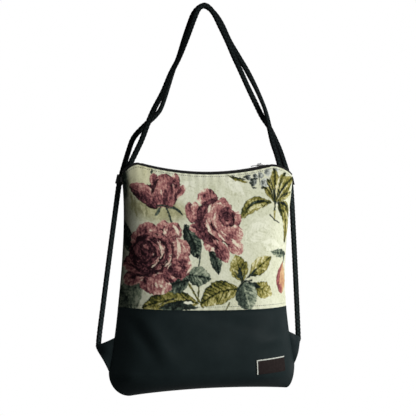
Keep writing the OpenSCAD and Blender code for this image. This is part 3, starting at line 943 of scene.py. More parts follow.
MOTIFS: tuple[Any, ...] = (
    # pale brush strokes in the ground
    leaf((60, 120), (110, 150), 18, Yarns.ECRU, bow=5, tone=0.9, rib=0.25, veins=0.2),
    leaf((20, 238), (60, 205), 14, Yarns.ECRU, tone=0.9, rib=0.25, veins=0.2),
    leaf((90, 120), (140, 108), 12, Yarns.ECRU, tone=0.9, rib=0.25, veins=0.2),
    leaf((-66, 205), (-28, 228), 12, Yarns.ECRU, tone=0.85, rib=0.25, veins=0.25),
    Blade((-156, 196), (-112, 256), 30, Yarns.STRAW, fullness=0.4, tone=0.95, soft=18.0),
    # painted shade: a soft dark patch of straw yarns on the ground between the upper-left bud and the large
    # rose
    Blade((-162, 180), (-36, 172), 36, Yarns.STRAW, fullness=0.5, tone=0.34, patch=0.5, soft=26.0),
    *strokes(Yarns.STRAW, ((-152, 204), (-147, 168), 3, 2, 0.1), ((-143, 196), (-136, 158), 3, -2, 0.0),
        ((-134, 184), (-124, 160), 3, 2, 0.7), ((-126, 186), (-121, 160), 2.4, 2, 0.1)),
    # twig with small blossoms at the top right
    stroke((30, 242), (70, 229), 3.4, -2, 0.35, Yarns.OLIVE),
    *strokes(Yarns.DARK, ((34, 243), (68, 234), 2.2, -2, 0.1), ((58, 237), (76, 242), 3, 0, 0.1)),
    blossom(70, 238, 6, 0.45), blossom(79, 229, 9, 0.5), blossom(84, 240, 6, 0.6), blossom(95, 242, 7),
    blossom(101, 228, 9, 0.86), blossom(97, 219, 4, 0.3), blossom(108, 247, 8, 0.95),
    blossom(126, 250, 5, 1.0),
    *strokes(Yarns.DARK, ((72, 234), (92, 233), 2, 2, 0.1), ((89, 244), (91, 222), 1.6, 2, 0.1),
        ((74, 222), (86, 220), 2, -2, 0.1)),
    # fan of leaves under the right corner
    blade((127, 190), (150, 114), 11, 13, 0.64), blade((126, 189), (136, 165), 6, 3, 0.46),
    Stem(((120, 190), (120, 163)), 3.4, tone=0.6),
    Stem(((110, 170), (119, 161), (130, 154)), 2.4, Yarns.DARK, 0.1),
    blade((122, 190), (162, 163), 7, 10, 0.5), blade((122, 192), (166, 209), 9, 4, 0.74),
    blade((121, 191), (171, 236), 16, 8, 0.54), blade((121, 191), (97, 221), 8, -4, 0.62),
    blade((121, 191), (105, 236), 8, -5, 0.66), blade((121, 192), (147, 247), 10, 5, 0.66),
    blade((121, 192), (121, 255), 11, -1, 0.62),
    *strokes(Yarns.DARK, ((118, 192), (103, 232), 2.2, -3, 0.1), ((119, 192), (109, 240), 2, -3, 0.2),
        ((122, 190), (124, 228), 2.2, 2, 0.1), ((123, 192), (144, 238), 2.2, 4, 0.12)),
    *strokes(Yarns.OLIVE, ((124, 200), (133, 238), 3, 3, 0.95), ((128, 198), (152, 224), 2.6, 4, 0.95)),
    *strokes(Yarns.DARK, ((124, 192), (156, 226), 2.4, 6, 0.1), ((126, 194), (160, 209), 2, 4, 0.12),
        ((122, 190), (160, 169), 2.6, 9, 0.1)),
    Stem(((120, 178), (121, 194)), 3.6, Yarns.DARK, 0.1), blade((115, 192), (51, 162), 13.5, -13, 0.62),
    stroke((70, 183), (52, 163), 5, -2, 0.22, Yarns.OLIVE),
    stroke((112, 192), (60, 174), 2.8, -11, 0.12, Yarns.DARK),
    *strokes(Yarns.OLIVE, ((92, 190), (98, 184), 1.6, 0, 0.1), ((104, 190), (94, 182), 1.8, 0, 0.15)),
    # leaves along the seam and at the left edge
    leaf((-25, 15), (-127, 4), 21, bow=-11, tone=0.5, rim=-0.2, veins=0.16),
    Blade((-30, 9), (-98, 4), 10, Yarns.DARK, bow=-4, tone=0.24, streak=0.5, jag=0.4),
    stroke((-104, 6), (-32, 18), 2.4, 10, 0.05, Yarns.DARK),
    *strokes(Yarns.OLIVE, ((-86, 14), (-70, 20), 2.6, 1, 0.6), ((-70, 21), (-48, 22), 3.2, 1, 0.62),
        ((-120, 3), (-92, 4), 2.4, 0, 0.72)),
    stroke((-53, 15), (-35, 15), 3.4, 1, 0.9, Yarns.ECRU),
    stroke((-60, 5), (-24, 8), 4, 1, 0.2, Yarns.DARK),
    leaf((-126, 50), (-176, -4), 24, Yarns.DARK, tone=0.62, rib=0.2, veins=0.1),
    leaf((-148, 98), (-168, 156), 14, Yarns.DARK, tone=0.25),
    Stem(((-50, 60), (-34, 34), (-17, 8)), 3.4, tone=0.35), Stem(((-24, 50), (-26, 18)), 2.6),
    Stem(((-21, 116), (-25, 80)), 3.0, Yarns.DARK, 0.25),
    leaf((-40, 58), (-90, 40), 18, Yarns.DARK, tone=0.28),
    leaf((-50, 66), (-1, 58), 18, Yarns.DARK, tone=0.6),
    leaf((-53, 153), (-27, 92), 17, Yarns.DARK, bow=3, tone=0.3),
    leaf((-8, 110), (12, 64), 11, Yarns.DARK, bow=5, tone=0.36),
    # cluster of broad leaves at the lower right
    Stem(((33, 16), (25, 3)), 2.6),
    leaf((52, 39), (-23, 12), 22, bow=-8, tone=0.5, lean=0.2, rim=-0.3, veins=0.24),
    leaf((75, 46), (120, 27), 15, tone=0.56, fade=0.5, rib=0.3, veins=0.16, lean=-0.1, patch=0.25),
    stroke((66, 50), (92, 41), 5.5, 0, 0.16, Yarns.DARK),
    leaf((57, 53), (72, 1), 22, Yarns.DARK, tone=0.56, rib=-0.3, veins=0.22, lean=0.36, jag=0.08,
        patch=0.2),
    stroke((50, 44), (60, 4), 8, -4, 0.34, Yarns.DARK),
    leaf((69, 61), (115, 95), 16, bow=1, tone=0.6, fade=0.4, rib=0.4, veins=0.14),
    leaf((57, 51), (43, 100), 18, tone=0.54, fade=0.5, rib=0.4, veins=0.14),
    *strokes(Yarns.DARK, ((56, 50), (49, 80), 5, 0, 0.12), ((54, 56), (41, 76), 1.8, 2, 0.2),
        ((55, 56), (61, 76), 1.8, -2, 0.2), ((62, 55), (86, 76), 3, 0, 0.15)),
    Stem(((50, 40), (60, 52), (74, 54)), 3.4, Yarns.DARK, 0.1),
    # bud at the right edge
    Stem(((154, 99), (152, 82)), 4.0, Yarns.DARK, 0.4),
    leaf((162, 96), (112, 103), 8, Yarns.DARK, tone=0.74, rib=0.3),
    petal((150, 86), (147, 27), 16, Yarns.PEACH, swell=1.7, tone=0.7, lean=0.12, fade=0.0, rim=-0.3,
        streak=0.2, jag=0.3),
    *strokes(Yarns.PEACH, ((149, 82), (131, 42), 5.4, -3, 0.06), ((140, 64), (135, 38), 5, -2, 0.1)),
    petal((141, 45), (147, 28), 8.5, Yarns.PEACH, swell=1.0, fullness=0.5, tone=0.1, fade=0.0),
    stroke((142, 44), (152, 40), 1.8, 1, 0.5, Yarns.PEACH),
    *strokes(Yarns.ROSE, ((146, 78), (131, 48), 2, -3, 0.26), ((138, 50), (140, 32), 2.4, -3, 0.24)),
    # bud at the upper left
    Stem(((-86, 183), (-81, 170), (-74, 152)), 3.4, Yarns.DARK, 0.3),
    *strokes(Yarns.DARK, ((-113, 236), (-109, 247), 3, 0, 0.3), ((-95, 184), (-108, 163), 3.4, 2, 0.3),
        ((-85, 181), (-54, 166), 3.6, 5, 0.3)),
    Blade((-90, 182), (-122, 216), 15, Yarns.ROSE, fullness=0.5, tone=0.2),
    petal((-74, 200), (-66, 241), 12, swell=1.0, fullness=0.45, tone=0.5, rim=-0.1),
    petal((-106, 214), (-107, 239), 10, swell=1.0, fullness=0.5, tone=0.38, rim=-0.2),
    petal((-70, 192), (-51, 222), 7, tone=0.46, lean=-0.2),
    petal((-100, 179), (-152, 215), 16.5, bow=-4, swell=0.9, fullness=0.45, tone=0.34, lean=-0.36, fade=0.1,
        rim=-0.1, streak=0.4, patch=0.3),
    petal((-88, 179), (-86, 240), 23.5, swell=0.85, fullness=0.42, tone=0.44, fade=0.08, streak=0.4,
        patch=0.3, rim=-0.2, jag=0.03),
    *strokes(Yarns.ROSE, ((-104, 222), (-65, 220), 1.6, 17, 0.06), ((-88, 182), (-87, 214), 5.4, 0, 0.12),
        ((-97, 231), (-113, 198), 3.6, -3, 0.06), ((-112, 200), (-100, 182), 2.6, -2, 0.1),
        ((-101, 212), (-96, 186), 2.4, -3, 0.2), ((-78, 212), (-81, 190), 1.4, 2, 0.3),
        ((-94, 228), (-94, 200), 1.8, -1, 0.7), ((-72, 224), (-74, 196), 2, 2, 0.72),
        ((-62, 216), (-70, 193), 2.4, 0, 0.1)),
    stroke((-106, 182), (-72, 181), 2.6, 1, 0.25, Yarns.DARK),
    # rose in the middle, its petals from the outside in
    petal((-8, 184), (-10, 217), 20, swell=1.0, fullness=0.5, tone=0.58, fade=0.1, rim=-0.15),
    petal((-36, 155), (-45, 192), 11, swell=0.9, fullness=0.55, tone=0.46, rim=-0.15),
    petal((-30, 166), (-33, 193), 8, tone=0.6), petal((-20, 142), (-43, 149), 9, tone=0.38, fade=0.1),
    petal((4, 134), (-10, 107), 14, fullness=0.5, tone=0.48, rim=-0.1),
    petal((14, 180), (24, 201), 9, tone=0.46, rim=-0.1), petal((24, 172), (35, 189), 7, tone=0.52),
    petal((28, 163), (54, 163), 14, fullness=0.5, tone=0.5, rim=0.1),
    *strokes(Yarns.ROSE, ((6, 200), (6, 112), 32, -10, 0.24), ((-28, 154), (-10, 124), 11, -2, 0.26)),
    petal((-2, 138), (29, 86), 13, fullness=0.7, tone=0.48, fade=0.2),
    petal((16, 140), (55, 102), 14, fullness=0.5, tone=0.7, fade=0.1, rim=-0.1),
    petal((14, 150), (56, 128), 18, fullness=0.5, tone=0.62, fade=0.15, rim=-0.05, streak=0.3),
    *strokes(Yarns.ROSE, ((23, 199), (14, 124), 26, -8, 0.62), ((13, 203), (-16, 130), 9, -21, 0.2),
        ((-10, 185), (-18, 158), 2.4, -2, 0.03), ((-6, 198), (6, 196), 2.4, 1, 0.1),
        ((-1, 191), (-8, 174), 3, -1, 0.96), ((5, 188), (-3, 171), 2, -2, 0.9),
        ((6, 189), (22, 185), 2, 4, 0.92), ((-12, 163), (0, 133), 3, -2, 0.98),
        ((8, 177), (9, 146), 2.8, -6, 0.96), ((9, 138), (24, 125), 2.6, -1, 0.98),
        ((13, 143), (26, 134), 2, 0, 0.95), ((34, 128), (48, 113), 2.8, 1, 1.0),
        ((-4, 163), (12, 138), 3, -4, 0.05), ((-9, 143), (16, 124), 2.8, -4, 0.05),
        ((27, 121), (36, 110), 2, 0, 0.3), ((2, 122), (14, 108), 2.2, -1, 0.16),
        ((18, 128), (34, 116), 2, -2, 0.2)),
    petal((26, 149), (26, 185), 17, swell=1.0, fullness=0.5, tone=0.26, fade=0.0, rim=0.06, streak=0.3,
        patch=0.4),
    *strokes(Yarns.ROSE, ((18, 172), (36, 167), 2.8, 5, 0.0), ((36, 170), (36, 152), 2.4, 4, 0.0),
        ((22, 166), (32, 160), 2.4, -3, 0.04), ((29, 150), (40, 155), 2.6, -2, 0.0),
        ((27, 159), (31, 154), 3, 0, 0.56), ((32, 179), (43, 169), 2.4, 2, 0.55),
        ((14, 174), (20, 152), 2, -3, 0.12), ((18, 180), (30, 180), 2, 3, 0.14)),
    # painted shade: dark yarns laid softly along the left edge and at the upper-left corner, where the wall
    # turns away from the light
    Blade((-172, 8), (-172, 262), 26, Yarns.DARK, fullness=0.3, tone=0.28, soft=24.0),
    Blade((-168, 252), (-162, 190), 18, Yarns.DARK, fullness=0.3, tone=0.26, soft=14.0),
    # large rose at the left, its petals from the outside in
    Blade((-152, 76), (-56, 84), 38, Yarns.ROSE, fullness=0.4, tone=0.22),
    petal((-100, 70), (-102, 28), 28, fullness=0.5, tone=0.46),
    *strokes(Yarns.ROSE, ((-103, 50), (-99, 39), 2.8, 0), ((-96, 48), (-90, 41), 2.8, 0)),
    petal((-112, 70), (-160, 48), 15, tone=0.4, rim=0.08), petal((-118, 86), (-162, 76), 16, tone=0.42),
    petal((-120, 108), (-143, 134), 15, tone=0.38),
    petal((-114, 108), (-120, 152), 20, fullness=0.5, tone=0.34, rim=0.1),
    petal((-92, 112), (-89, 158), 14, tone=0.36, rim=0.12, streak=0.3, patch=0.3),
    *strokes(Yarns.ROSE, ((-96, 150), (-83, 150), 4, 1, 0.72), ((-100, 144), (-82, 120), 2.2, 5, 0.1),
        ((-112, 134), (-90, 118), 2, 5, 0.12), ((-104, 148), (-100, 128), 1.8, 1, 0.14)),
    petal((-86, 106), (-66, 155), 17, tone=0.4, rim=0.12),
    petal((-88, 98), (-42, 112), 21, fullness=0.5, tone=0.56, rim=0.12),
    petal((-90, 82), (-66, 54), 18, tone=0.42, rim=0.1),
    petal((-92, 86), (-39, 76), 25, fullness=0.5, tone=0.42, rim=0.08, streak=0.4),
    *strokes(Yarns.ROSE, ((-74, 151), (-62, 131), 3, 2), ((-67, 128), (-66, 90), 3.8, 5),
        ((-59, 124), (-56, 92), 2.4, 3, 0.76), ((-55, 116), (-50, 103), 2.6, 1),
        ((-46, 108), (-42, 101), 2, 0, 0.9), ((-39, 90), (-48, 65), 2.8, 3),
        ((-116, 138), (-105, 139), 2.4, 1, 0.85), ((-54, 96), (-60, 68), 2.4, 3, 0.2),
        ((-80, 128), (-66, 134), 2.2, -2, 0.14)),
    Rose((-112, 96), 42, (-128, 103), layers=5, petals=5, tone=0.44),
    *strokes(Yarns.ROSE, ((-92, 134), (-84, 74), 4, 16, 0.16), ((-152, 84), (-74, 84), 4, -18, 0.05),
        ((-150, 66), (-104, 66), 3.2, -6, 0.06), ((-141, 88), (-112, 72), 2.8, -4, 0.02),
        ((-90, 120), (-96, 76), 4, 10, 0.06), ((-76, 98), (-88, 77), 2.2, 4, 0.94),
        ((-103, 121), (-96, 89), 3.4, 8, 0.95), ((-98, 96), (-111, 74), 2.4, 4, 0.9)),
    petal((-126, 84), (-126, 120), 17, swell=1.0, fullness=0.5, tone=0.2, fade=0.0, rim=0.06, streak=0.3,
        patch=0.2),
    *strokes(Yarns.ROSE, ((-144, 110), (-126, 86), 3.8, -6, -0.1), ((-122, 121), (-105, 105), 2.4, 3, -0.1),
        ((-141, 110), (-125, 121), 2.6, 3, 0.02), ((-130, 106), (-119, 93), 4, -1, -0.1),
        ((-117, 112), (-111, 96), 2, 3, 0.04), ((-125, 113), (-116, 106), 3.6, 1, 0.54),
        ((-136, 104), (-128, 92), 1.8, -2, 0.34), ((-118, 90), (-108, 98), 1.8, -2, 0.36),
        ((-108, 118), (-102, 92), 2, 5, 0.42), ((-150, 96), (-142, 80), 2, -3, 0.4)),
)


@dataclass
class TapestryPanel:
    """Front or back wall of tapestry, from the top edge down to the seam."""

    form: BagForm
    side: Side
    columns: int = 337
    rows: int = 249
    step: int = 4
    thick: float = 1.4
    even_at: float = 0.6
    soft: float = 1.3
    soft_wide: float = 38.0
    soft_tall: float = 60.0
    ripple: float = 0.5
    ripple_pitch: float = 13.0
    top_reach: float = 14.0
    seam_reach: float = 12.0
    seam_share: float = 0.7
    repeat: float = 330.0
    back_cut: float = 150.0
    hem: float = 3.0
    trim: float = 0.006
    dents: tuple[Dent, ...] = ()

    @property
    def node(self) -> str:
        """Name of the CAD node that this stands for."""
        return "front_panel" if self.side is Side.FRONT else "back_panel"

    def surface(self, s: Array, v: Array, off: Any) -> Array:
        """Points of the wall with its soft folds.

        The folds are bells and a small ripple along both edges, and they fade towards the sides.

        Args:
            s: places across.
            v: levels.
            off: distance out.

        Returns:
            Points in millimetres.
        """
        points = self.form.point(s, v, self.side, off)
        x, z = points[..., 0], points[..., 2]
        fade = 1 - np.abs(s) ** 6
        soft = self.soft * (noise(x / self.soft_wide, z / self.soft_tall, 21.0) - 0.5)
        tall = self.form.z_peak - self.form.z_seam
        low = np.exp(-(1 - v) * tall / self.seam_reach)
        edge = np.exp(-v * tall / self.top_reach) + self.seam_share * low
        wave = np.sin(2 * np.pi * x / self.ripple_pitch + 3 * noise(x / 40.0, v * 0, 2.0))
        pucker = self.ripple * wave * edge
        push = sum((d.lift(x, z) for d in self.dents), np.zeros_like(x))
        points[..., 1] += self.side * fade * (soft * np.minimum(1, 8 * v * (1 - v)) + pucker + push)
        return points

    def places(self) -> tuple[Array, Array]:
        """Grid of places: even across the cloth and even down from just below the zip's edge."""
        s = self.form.across(self.columns, self.even_at, self.side)[None, :]
        return np.broadcast_arrays(s, np.linspace(self.trim, 1, self.rows)[:, None])

    def flat(self, points: Array) -> tuple[Array, Array]:
        """Lays the wall flat: lengths along its rows from the middle, and up its columns from the seam.

        Args:
            points: grid of points.

        Returns:
            Places across and up, in millimetres.
        """
        x, y = stations(points, axis=1), stations(points)
        return x - 0.5 * x[:, -1:], y[-1:, :] - y

    def woven(self, x: Array, y: Array) -> Array:
        """Colours of the cloth; the back is another cut of the same repeat, seen from behind.

        Args:
            x: places across.
            y: places up.

        Returns:
            Linear colours, one row for each point.
        """
        front = self.side is Side.FRONT
        cloth = Cloth((x if front else self.back_cut - x).ravel(), y.ravel() + self.hem)
        for shift in (0.0,) if front else (0.0, self.repeat):
            cloth.x -= shift
            for motif in MOTIFS:
                motif.weave(cloth)
        return cloth.rgb

    def build(self) -> None:
        s, v = self.places()
        half = self.form.seam_half
        outer, inner = self.surface(s, v, half + self.thick), self.surface(s, v, half)
        x, y = self.flat(self.form.point(s, v, self.side, half + self.thick))
        colour = self.woven(x, y).reshape(self.rows, self.columns, 3)
        flat = np.stack([x, y], axis=-1) * MM
        if self.side is Side.BACK:
            outer, inner, colour, flat = (grid[:, ::-1] for grid in (outer, inner, colour, flat))
        points, colour, flat = (
            listed(full, few[::self.step, ::self.step])
            for full, few in ((outer, inner), (colour, colour), (flat, flat)))
        made = make_object(f"{self.node}_tapestry", points, sheet_faces(self.rows, self.columns, self.step),
                           TAPESTRY.material(), flat, colour)
        settle(made, self.node)


@dataclass
class Topstitch:
    """Row of stitches along the top edge or the seam of a wall."""

    panel: TapestryPanel
    level: float
    name: str
    pitch: float = 4.2
    stitch: float = 3.0
    thread: float = 0.8
    sides: int = 6
    rings: int = 5
    reach: float = 0.975
    samples: int = 2400

    def build(self) -> None:
        """Makes every stitch as a small closed capsule on the cloth, thinned by the root of a sine."""
        s = np.linspace(-self.reach, self.reach, self.samples)
        off = self.panel.form.seam_half + self.panel.thick
        line = self.panel.surface(s, np.full_like(s, self.level), off)
        length = stations(line)
        starts = np.arange(0, length[-1] - self.stitch, self.pitch)
        along = starts[:, None] + np.linspace(0, self.stitch, self.rings)[None, :]
        spine = np.stack([np.interp(along, length, line[:, c]) for c in range(3)], axis=-1)
        ahead = unit(spine[:, -1] - spine[:, 0])[:, None, None, :]
        out = np.array([0.0, float(self.panel.side), 0.0])
        over = np.cross(ahead, out)
        angle = round_angles(self.sides)[None, None, :, None]
        thin = np.sin(np.linspace(0.12, 0.88, self.rings) * np.pi)[None, :, None, None] ** 0.5
        sunk = out * self.thread * (0.5 * thin - 0.35)
        ring = self.thread / 2 * thin * (np.cos(angle) * over + np.sin(angle) * np.cross(over, ahead))
        points = spine[:, :, None, :] + sunk + ring
        first = np.arange(len(starts))[:, None, None] * self.rings * self.sides
        faces = [listed(first + part[None]) for part in tube_faces(self.rings, self.sides)]
        settle(make_object(self.name, listed(points), faces, THREAD.material(), crease=180))


@dataclass
class LeatherBase:
    """Base of leatherette: one sheet from the front seam under the bag to the back seam."""

    form: BagForm
    columns: int = 150
    front_rows: int = 44
    round_rows: int = 24
    thick: float = 1.5
    even_at: float = 1.6
    roll: float = 0.9
    roll_wide: float = 3.0
    soft: float = 2.2
    soft_wide: float = 44.0
    soft_tall: float = 34.0
    fade_in: float = 0.18
    dents: tuple[Dent, ...] = ()

    def pushed(self, points: Array, s: Array, v: Array, side: Side) -> Array:
        """Pushes points of the base by its dents, which fade at the seam, the sides and the bottom.

        Args:
            points: points of the plain form.
            s: places across.
            v: levels.
            side: front or back.

        Returns:
            The pushed points.
        """
        x, z = points[..., 0] * -side, points[..., 2]
        fade = ease((v - 1) / self.fade_in) * np.cos(self.form.round_angle(v)) * (1 - np.abs(s) ** 10)
        soft = self.soft * (noise(x / self.soft_wide + 7, z / self.soft_tall, 31.0) - 0.5)
        push = sum((d.lift(x, z) for d in self.dents), soft)
        moved = points.copy()
        moved[..., 1] += side * fade * push
        return moved

    def surface(self, s: Array, v: Array, side: Side, off: Any) -> Array:
        """Points of the base at a distance out, with its dents."""
        return self.pushed(self.form.point(s, v, side, off), s, v, side)

    def wrap(self, off: float, roll: float) -> Array:
        """Grid of points from the front seam down, round the bottom and up to the back seam.

        Args:
            off: distance out.
            roll: extra distance at the turned edge along each seam.

        Returns:
            Grid of points.
        """
        down = np.concatenate([1 + np.linspace(0, 1, self.front_rows) ** 1.3,
                               2 + np.linspace(0, 1, self.round_rows)[1:]])
        across = self.form.across(self.columns, self.even_at, Side.FRONT)
        s, v = np.broadcast_arrays(across[None, :], down[:, None])
        below = (v - 1) * (self.form.z_seam - self.form.z_round)
        turned = off + roll * np.exp(-(below / self.roll_wide) ** 2)
        front, back = (self.surface(s, v, side, turned) for side in Side)
        return np.concatenate([front, back[-2::-1]])

    def build(self) -> None:
        half = self.form.seam_half
        outer, inner = self.wrap(half + self.thick, self.roll), self.wrap(half, 0.0)
        made = make_object("base_leatherette", listed(outer, inner), sheet_faces(*outer.shape[:2]),
                           LEATHERETTE.material())
        settle(made, "base")


@dataclass
class Label:
    """Bare label on the front of the base, with a pale bound edge at its top and left."""

    base: LeatherBase
    wide: float = 61.0
    tall: float = 27.0
    thick: float = 1.0
    inward: float = 61.0
    up: float = 45.0
    turn: float = 3.0
    bound: float = 2.1
    bound_rise: float = 0.5
    bound_soft: float = 0.8
    gap: float = 0.3
    columns: int = 76
    rows: int = 34
    face: str = "#251f1e"
    edge: str = "#cfd2c8"

    def surface(self, i: Array, k: Array, off: Any) -> Array:
        """Points of the label bent to the base.

        Args:
            i: place along its width, -0.5 to 0.5.
            k: place up its height, -0.5 to 0.5.
            off: distance out from the base's cloth.

        Returns:
            Points in millimetres.
        """
        form = self.base.form
        c, s = math.cos(math.radians(self.turn)), math.sin(math.radians(self.turn))
        x = form.base_w / 2 - self.inward + i * self.wide * c - k * self.tall * s
        z = form.z_bottom + self.up + k * self.tall * c + i * self.wide * s
        v = form.base_level(z)
        return self.base.surface(x / form.half_width(x, v), v, Side.FRONT, off)

    def build(self) -> None:
        """Makes the label with a raised pale binding."""
        i, k = np.broadcast_arrays(np.linspace(-0.5, 0.5, self.columns)[None, :],
                                   np.linspace(0.5, -0.5, self.rows)[:, None])
        under = self.base.form.seam_half + self.base.thick + self.gap
        left, top = (i + 0.5) * self.wide, (0.5 - k) * self.tall
        binding = ease((self.bound - np.minimum(left, top)) / self.bound_soft)
        outer = self.surface(i, k, under + self.thick + self.bound_rise * binding)
        inner = self.surface(i, k, under)
        face = linear(self.face) * (0.8 + 0.4 * noise(left / 2.0, top / 2.0, 4.0))[..., None]
        pale = linear(self.edge) * (0.85 + 0.3 * noise(left / 1.5, top / 1.5, 6.0))[..., None]
        colour, uv = mix(face, pale, binding[..., None]), np.stack([left, top], axis=-1) * MM
        made = make_object("label_patch", listed(outer, inner), sheet_faces(self.rows, self.columns),
                           LABEL.material(), listed(uv, uv), listed(colour, colour))
        settle(made, "label")


@dataclass
class Lining:
    """Inner bag of plain cloth, a little inside the walls."""

    form: BagForm
    base: LeatherBase
    columns: int = 60
    rows: int = 50
    round_rows: int = 10
    even_at: float = 1.0
    inset: float = 7.0
    thick: float = 0.8
    gap: float = 0.8
    top: float = 12.0

    def wrap(self, less: float) -> Array:
        """Grid of points from the front edge down, round the bottom and up to the back edge.

        Args:
            less: depth taken off the walls.

        Returns:
            Grid of points.
        """
        start = self.top / (self.form.z_peak - self.form.z_seam)
        v = np.concatenate([np.linspace(start, 2, self.rows), 2 + np.linspace(0, 1, self.round_rows)[1:]])
        across = self.form.across(self.columns, self.even_at, Side.FRONT)
        s, v = np.broadcast_arrays(across[None, :], v[:, None])
        front, back = (
            self.base.pushed(self.form.point(s, v, side, self.form.seam_half, self.inset, less), s, v, side)
            for side in Side)
        return np.concatenate([front, back[-2::-1]])

    def build(self) -> None:
        outer, inner = self.wrap(self.gap), self.wrap(self.gap + self.thick)
        made = make_object("lining_cloth", listed(outer, inner), sheet_faces(*outer.shape[:2]),
                           LINING.material())
        settle(made, "lining")


@dataclass
class ZipEdge:
    """Raised edge of the zip tape that shows as a dark line above one wall."""

    form: BagForm
    side: Side
    steps: int = 260
    wide: float = 1.8
    tall: float = 7.0
    rise: float = 2.6
    reach: float = 0.985
    inward: float = 0.2
    sides: int = 12

    def build(self) -> None:
        """Makes a flat rounded bead that follows the wall's top edge just inside it."""
        s = np.linspace(-self.reach, self.reach, self.steps)
        line = self.form.point(s, np.zeros_like(s), self.side, -self.wide / 2 - self.inward)
        line[:, 2] += self.rise - self.tall / 2
        angle = round_angles(self.sides)
        ahead = unit(np.gradient(line, axis=0))
        over = unit(np.cross(ahead, np.array([0.0, 0.0, 1.0])))
        rise = np.cross(over, ahead)
        flat = squared(np.sin(angle), 0.6)
        points = line[:, None, :] + self.wide / 2 * np.cos(angle)[None, :, None] * over[:, None, :]
        points = points + self.tall / 2 * flat[None, :, None] * rise[:, None, :]
        made = make_object(f"zip_tape_edge_{self.side.name.lower()}", listed(points),
                           tube_faces(self.steps, self.sides), ZIP_TAPE.material())
        settle(made)


@dataclass
class SideTab:
    """Folded tab of leatherette from the side seam to a thick tip round the strap's end."""

    form: BagForm
    hand: Hand
    up: float = 101.0
    tall: float = 63.0
    tip_up: float = 86.0
    tip_out: float = 15.0
    tip_back: float = 14.0
    tip_slant: float = 4.0
    flat: float = 2.6
    tip_thick: float = 7.0
    strap_w: float = 10.0
    sunk: float = 1.5
    bulge: float = 5.0
    crumple: float = 1.2
    steps: int = 30
    sides: int = 48

    @property
    def tip(self) -> Array:
        """Place of the tip."""
        out = self.form.base_w / 2 + self.tip_out
        return np.array([self.hand * out, self.tip_back, self.form.z_bottom + self.tip_up])

    def build(self) -> None:
        """Makes the tab from rounded flat rings between its root and its tip.

        A ring runs down the tab's height and back, its thickness grows with the square of the way out, and
        a half sine along the way out bulges it to the front.
        """
        r = np.linspace(0, 1, self.steps)[:, None, None]
        angle = round_angles(self.sides)
        k = 0.5 - 0.5 * squared(np.cos(angle), 0.35)
        face = squared(np.sin(angle), 0.5)
        root = self.form.side_point(self.form.z_bottom + self.up - self.tall * k, self.hand)
        root = root - np.array([self.hand * self.sunk, 0.0, 0.0])
        slide = np.stack([self.hand * (self.strap_w / 2 - self.tip_slant * k), 0 * k, -self.strap_w * k],
                         axis=-1)
        points = mix(root[None], (self.tip + slide)[None], r)
        thick = mix(self.flat, self.tip_thick, r ** 2) * np.sqrt(np.clip(1.06 - r ** 12, 0.2, 1))
        creases = self.crumple * np.sin(2 * np.pi * (k[None, :, None] * 1.6 + 0.2))
        fold = (creases - self.bulge) * np.sin(np.pi * r)
        points[..., 1] += (face[None, :, None] * thick / 2 + fold)[..., 0]
        name = f"side_tab_{self.hand.name.lower()}"
        made = make_object(f"{name}_leatherette", listed(points), tube_faces(self.steps, self.sides),
                           LEATHERETTE.material())
        settle(made, name)


@dataclass
class SideSeam:
    """Dark seam edge between the front and back sheets along one side."""

    form: BagForm
    hand: Hand
    wide: float = 6.0
    thick: float = 0.28
    inset: float = 0.1
    top: float = 0.02
    bottom: float = 2.9
    steps: int = 90

    def build(self) -> None:
        """Makes a thin strip from just inside the side edge inward."""
        v = np.linspace(self.top, self.bottom, self.steps)
        corners = ((Side.FRONT, self.inset), (Side.BACK, self.inset), (Side.BACK, self.wide),
                   (Side.FRONT, self.wide))
        edges = [self.form.point(np.float64(self.hand), v, side, self.thick / 2, inset)
                 for side, inset in corners]
        made = make_object(f"side_seam_{self.hand.name.lower()}", listed(np.stack(edges, axis=1)),
                           tube_faces(self.steps, len(corners)), LINING.material())
        settle(made)


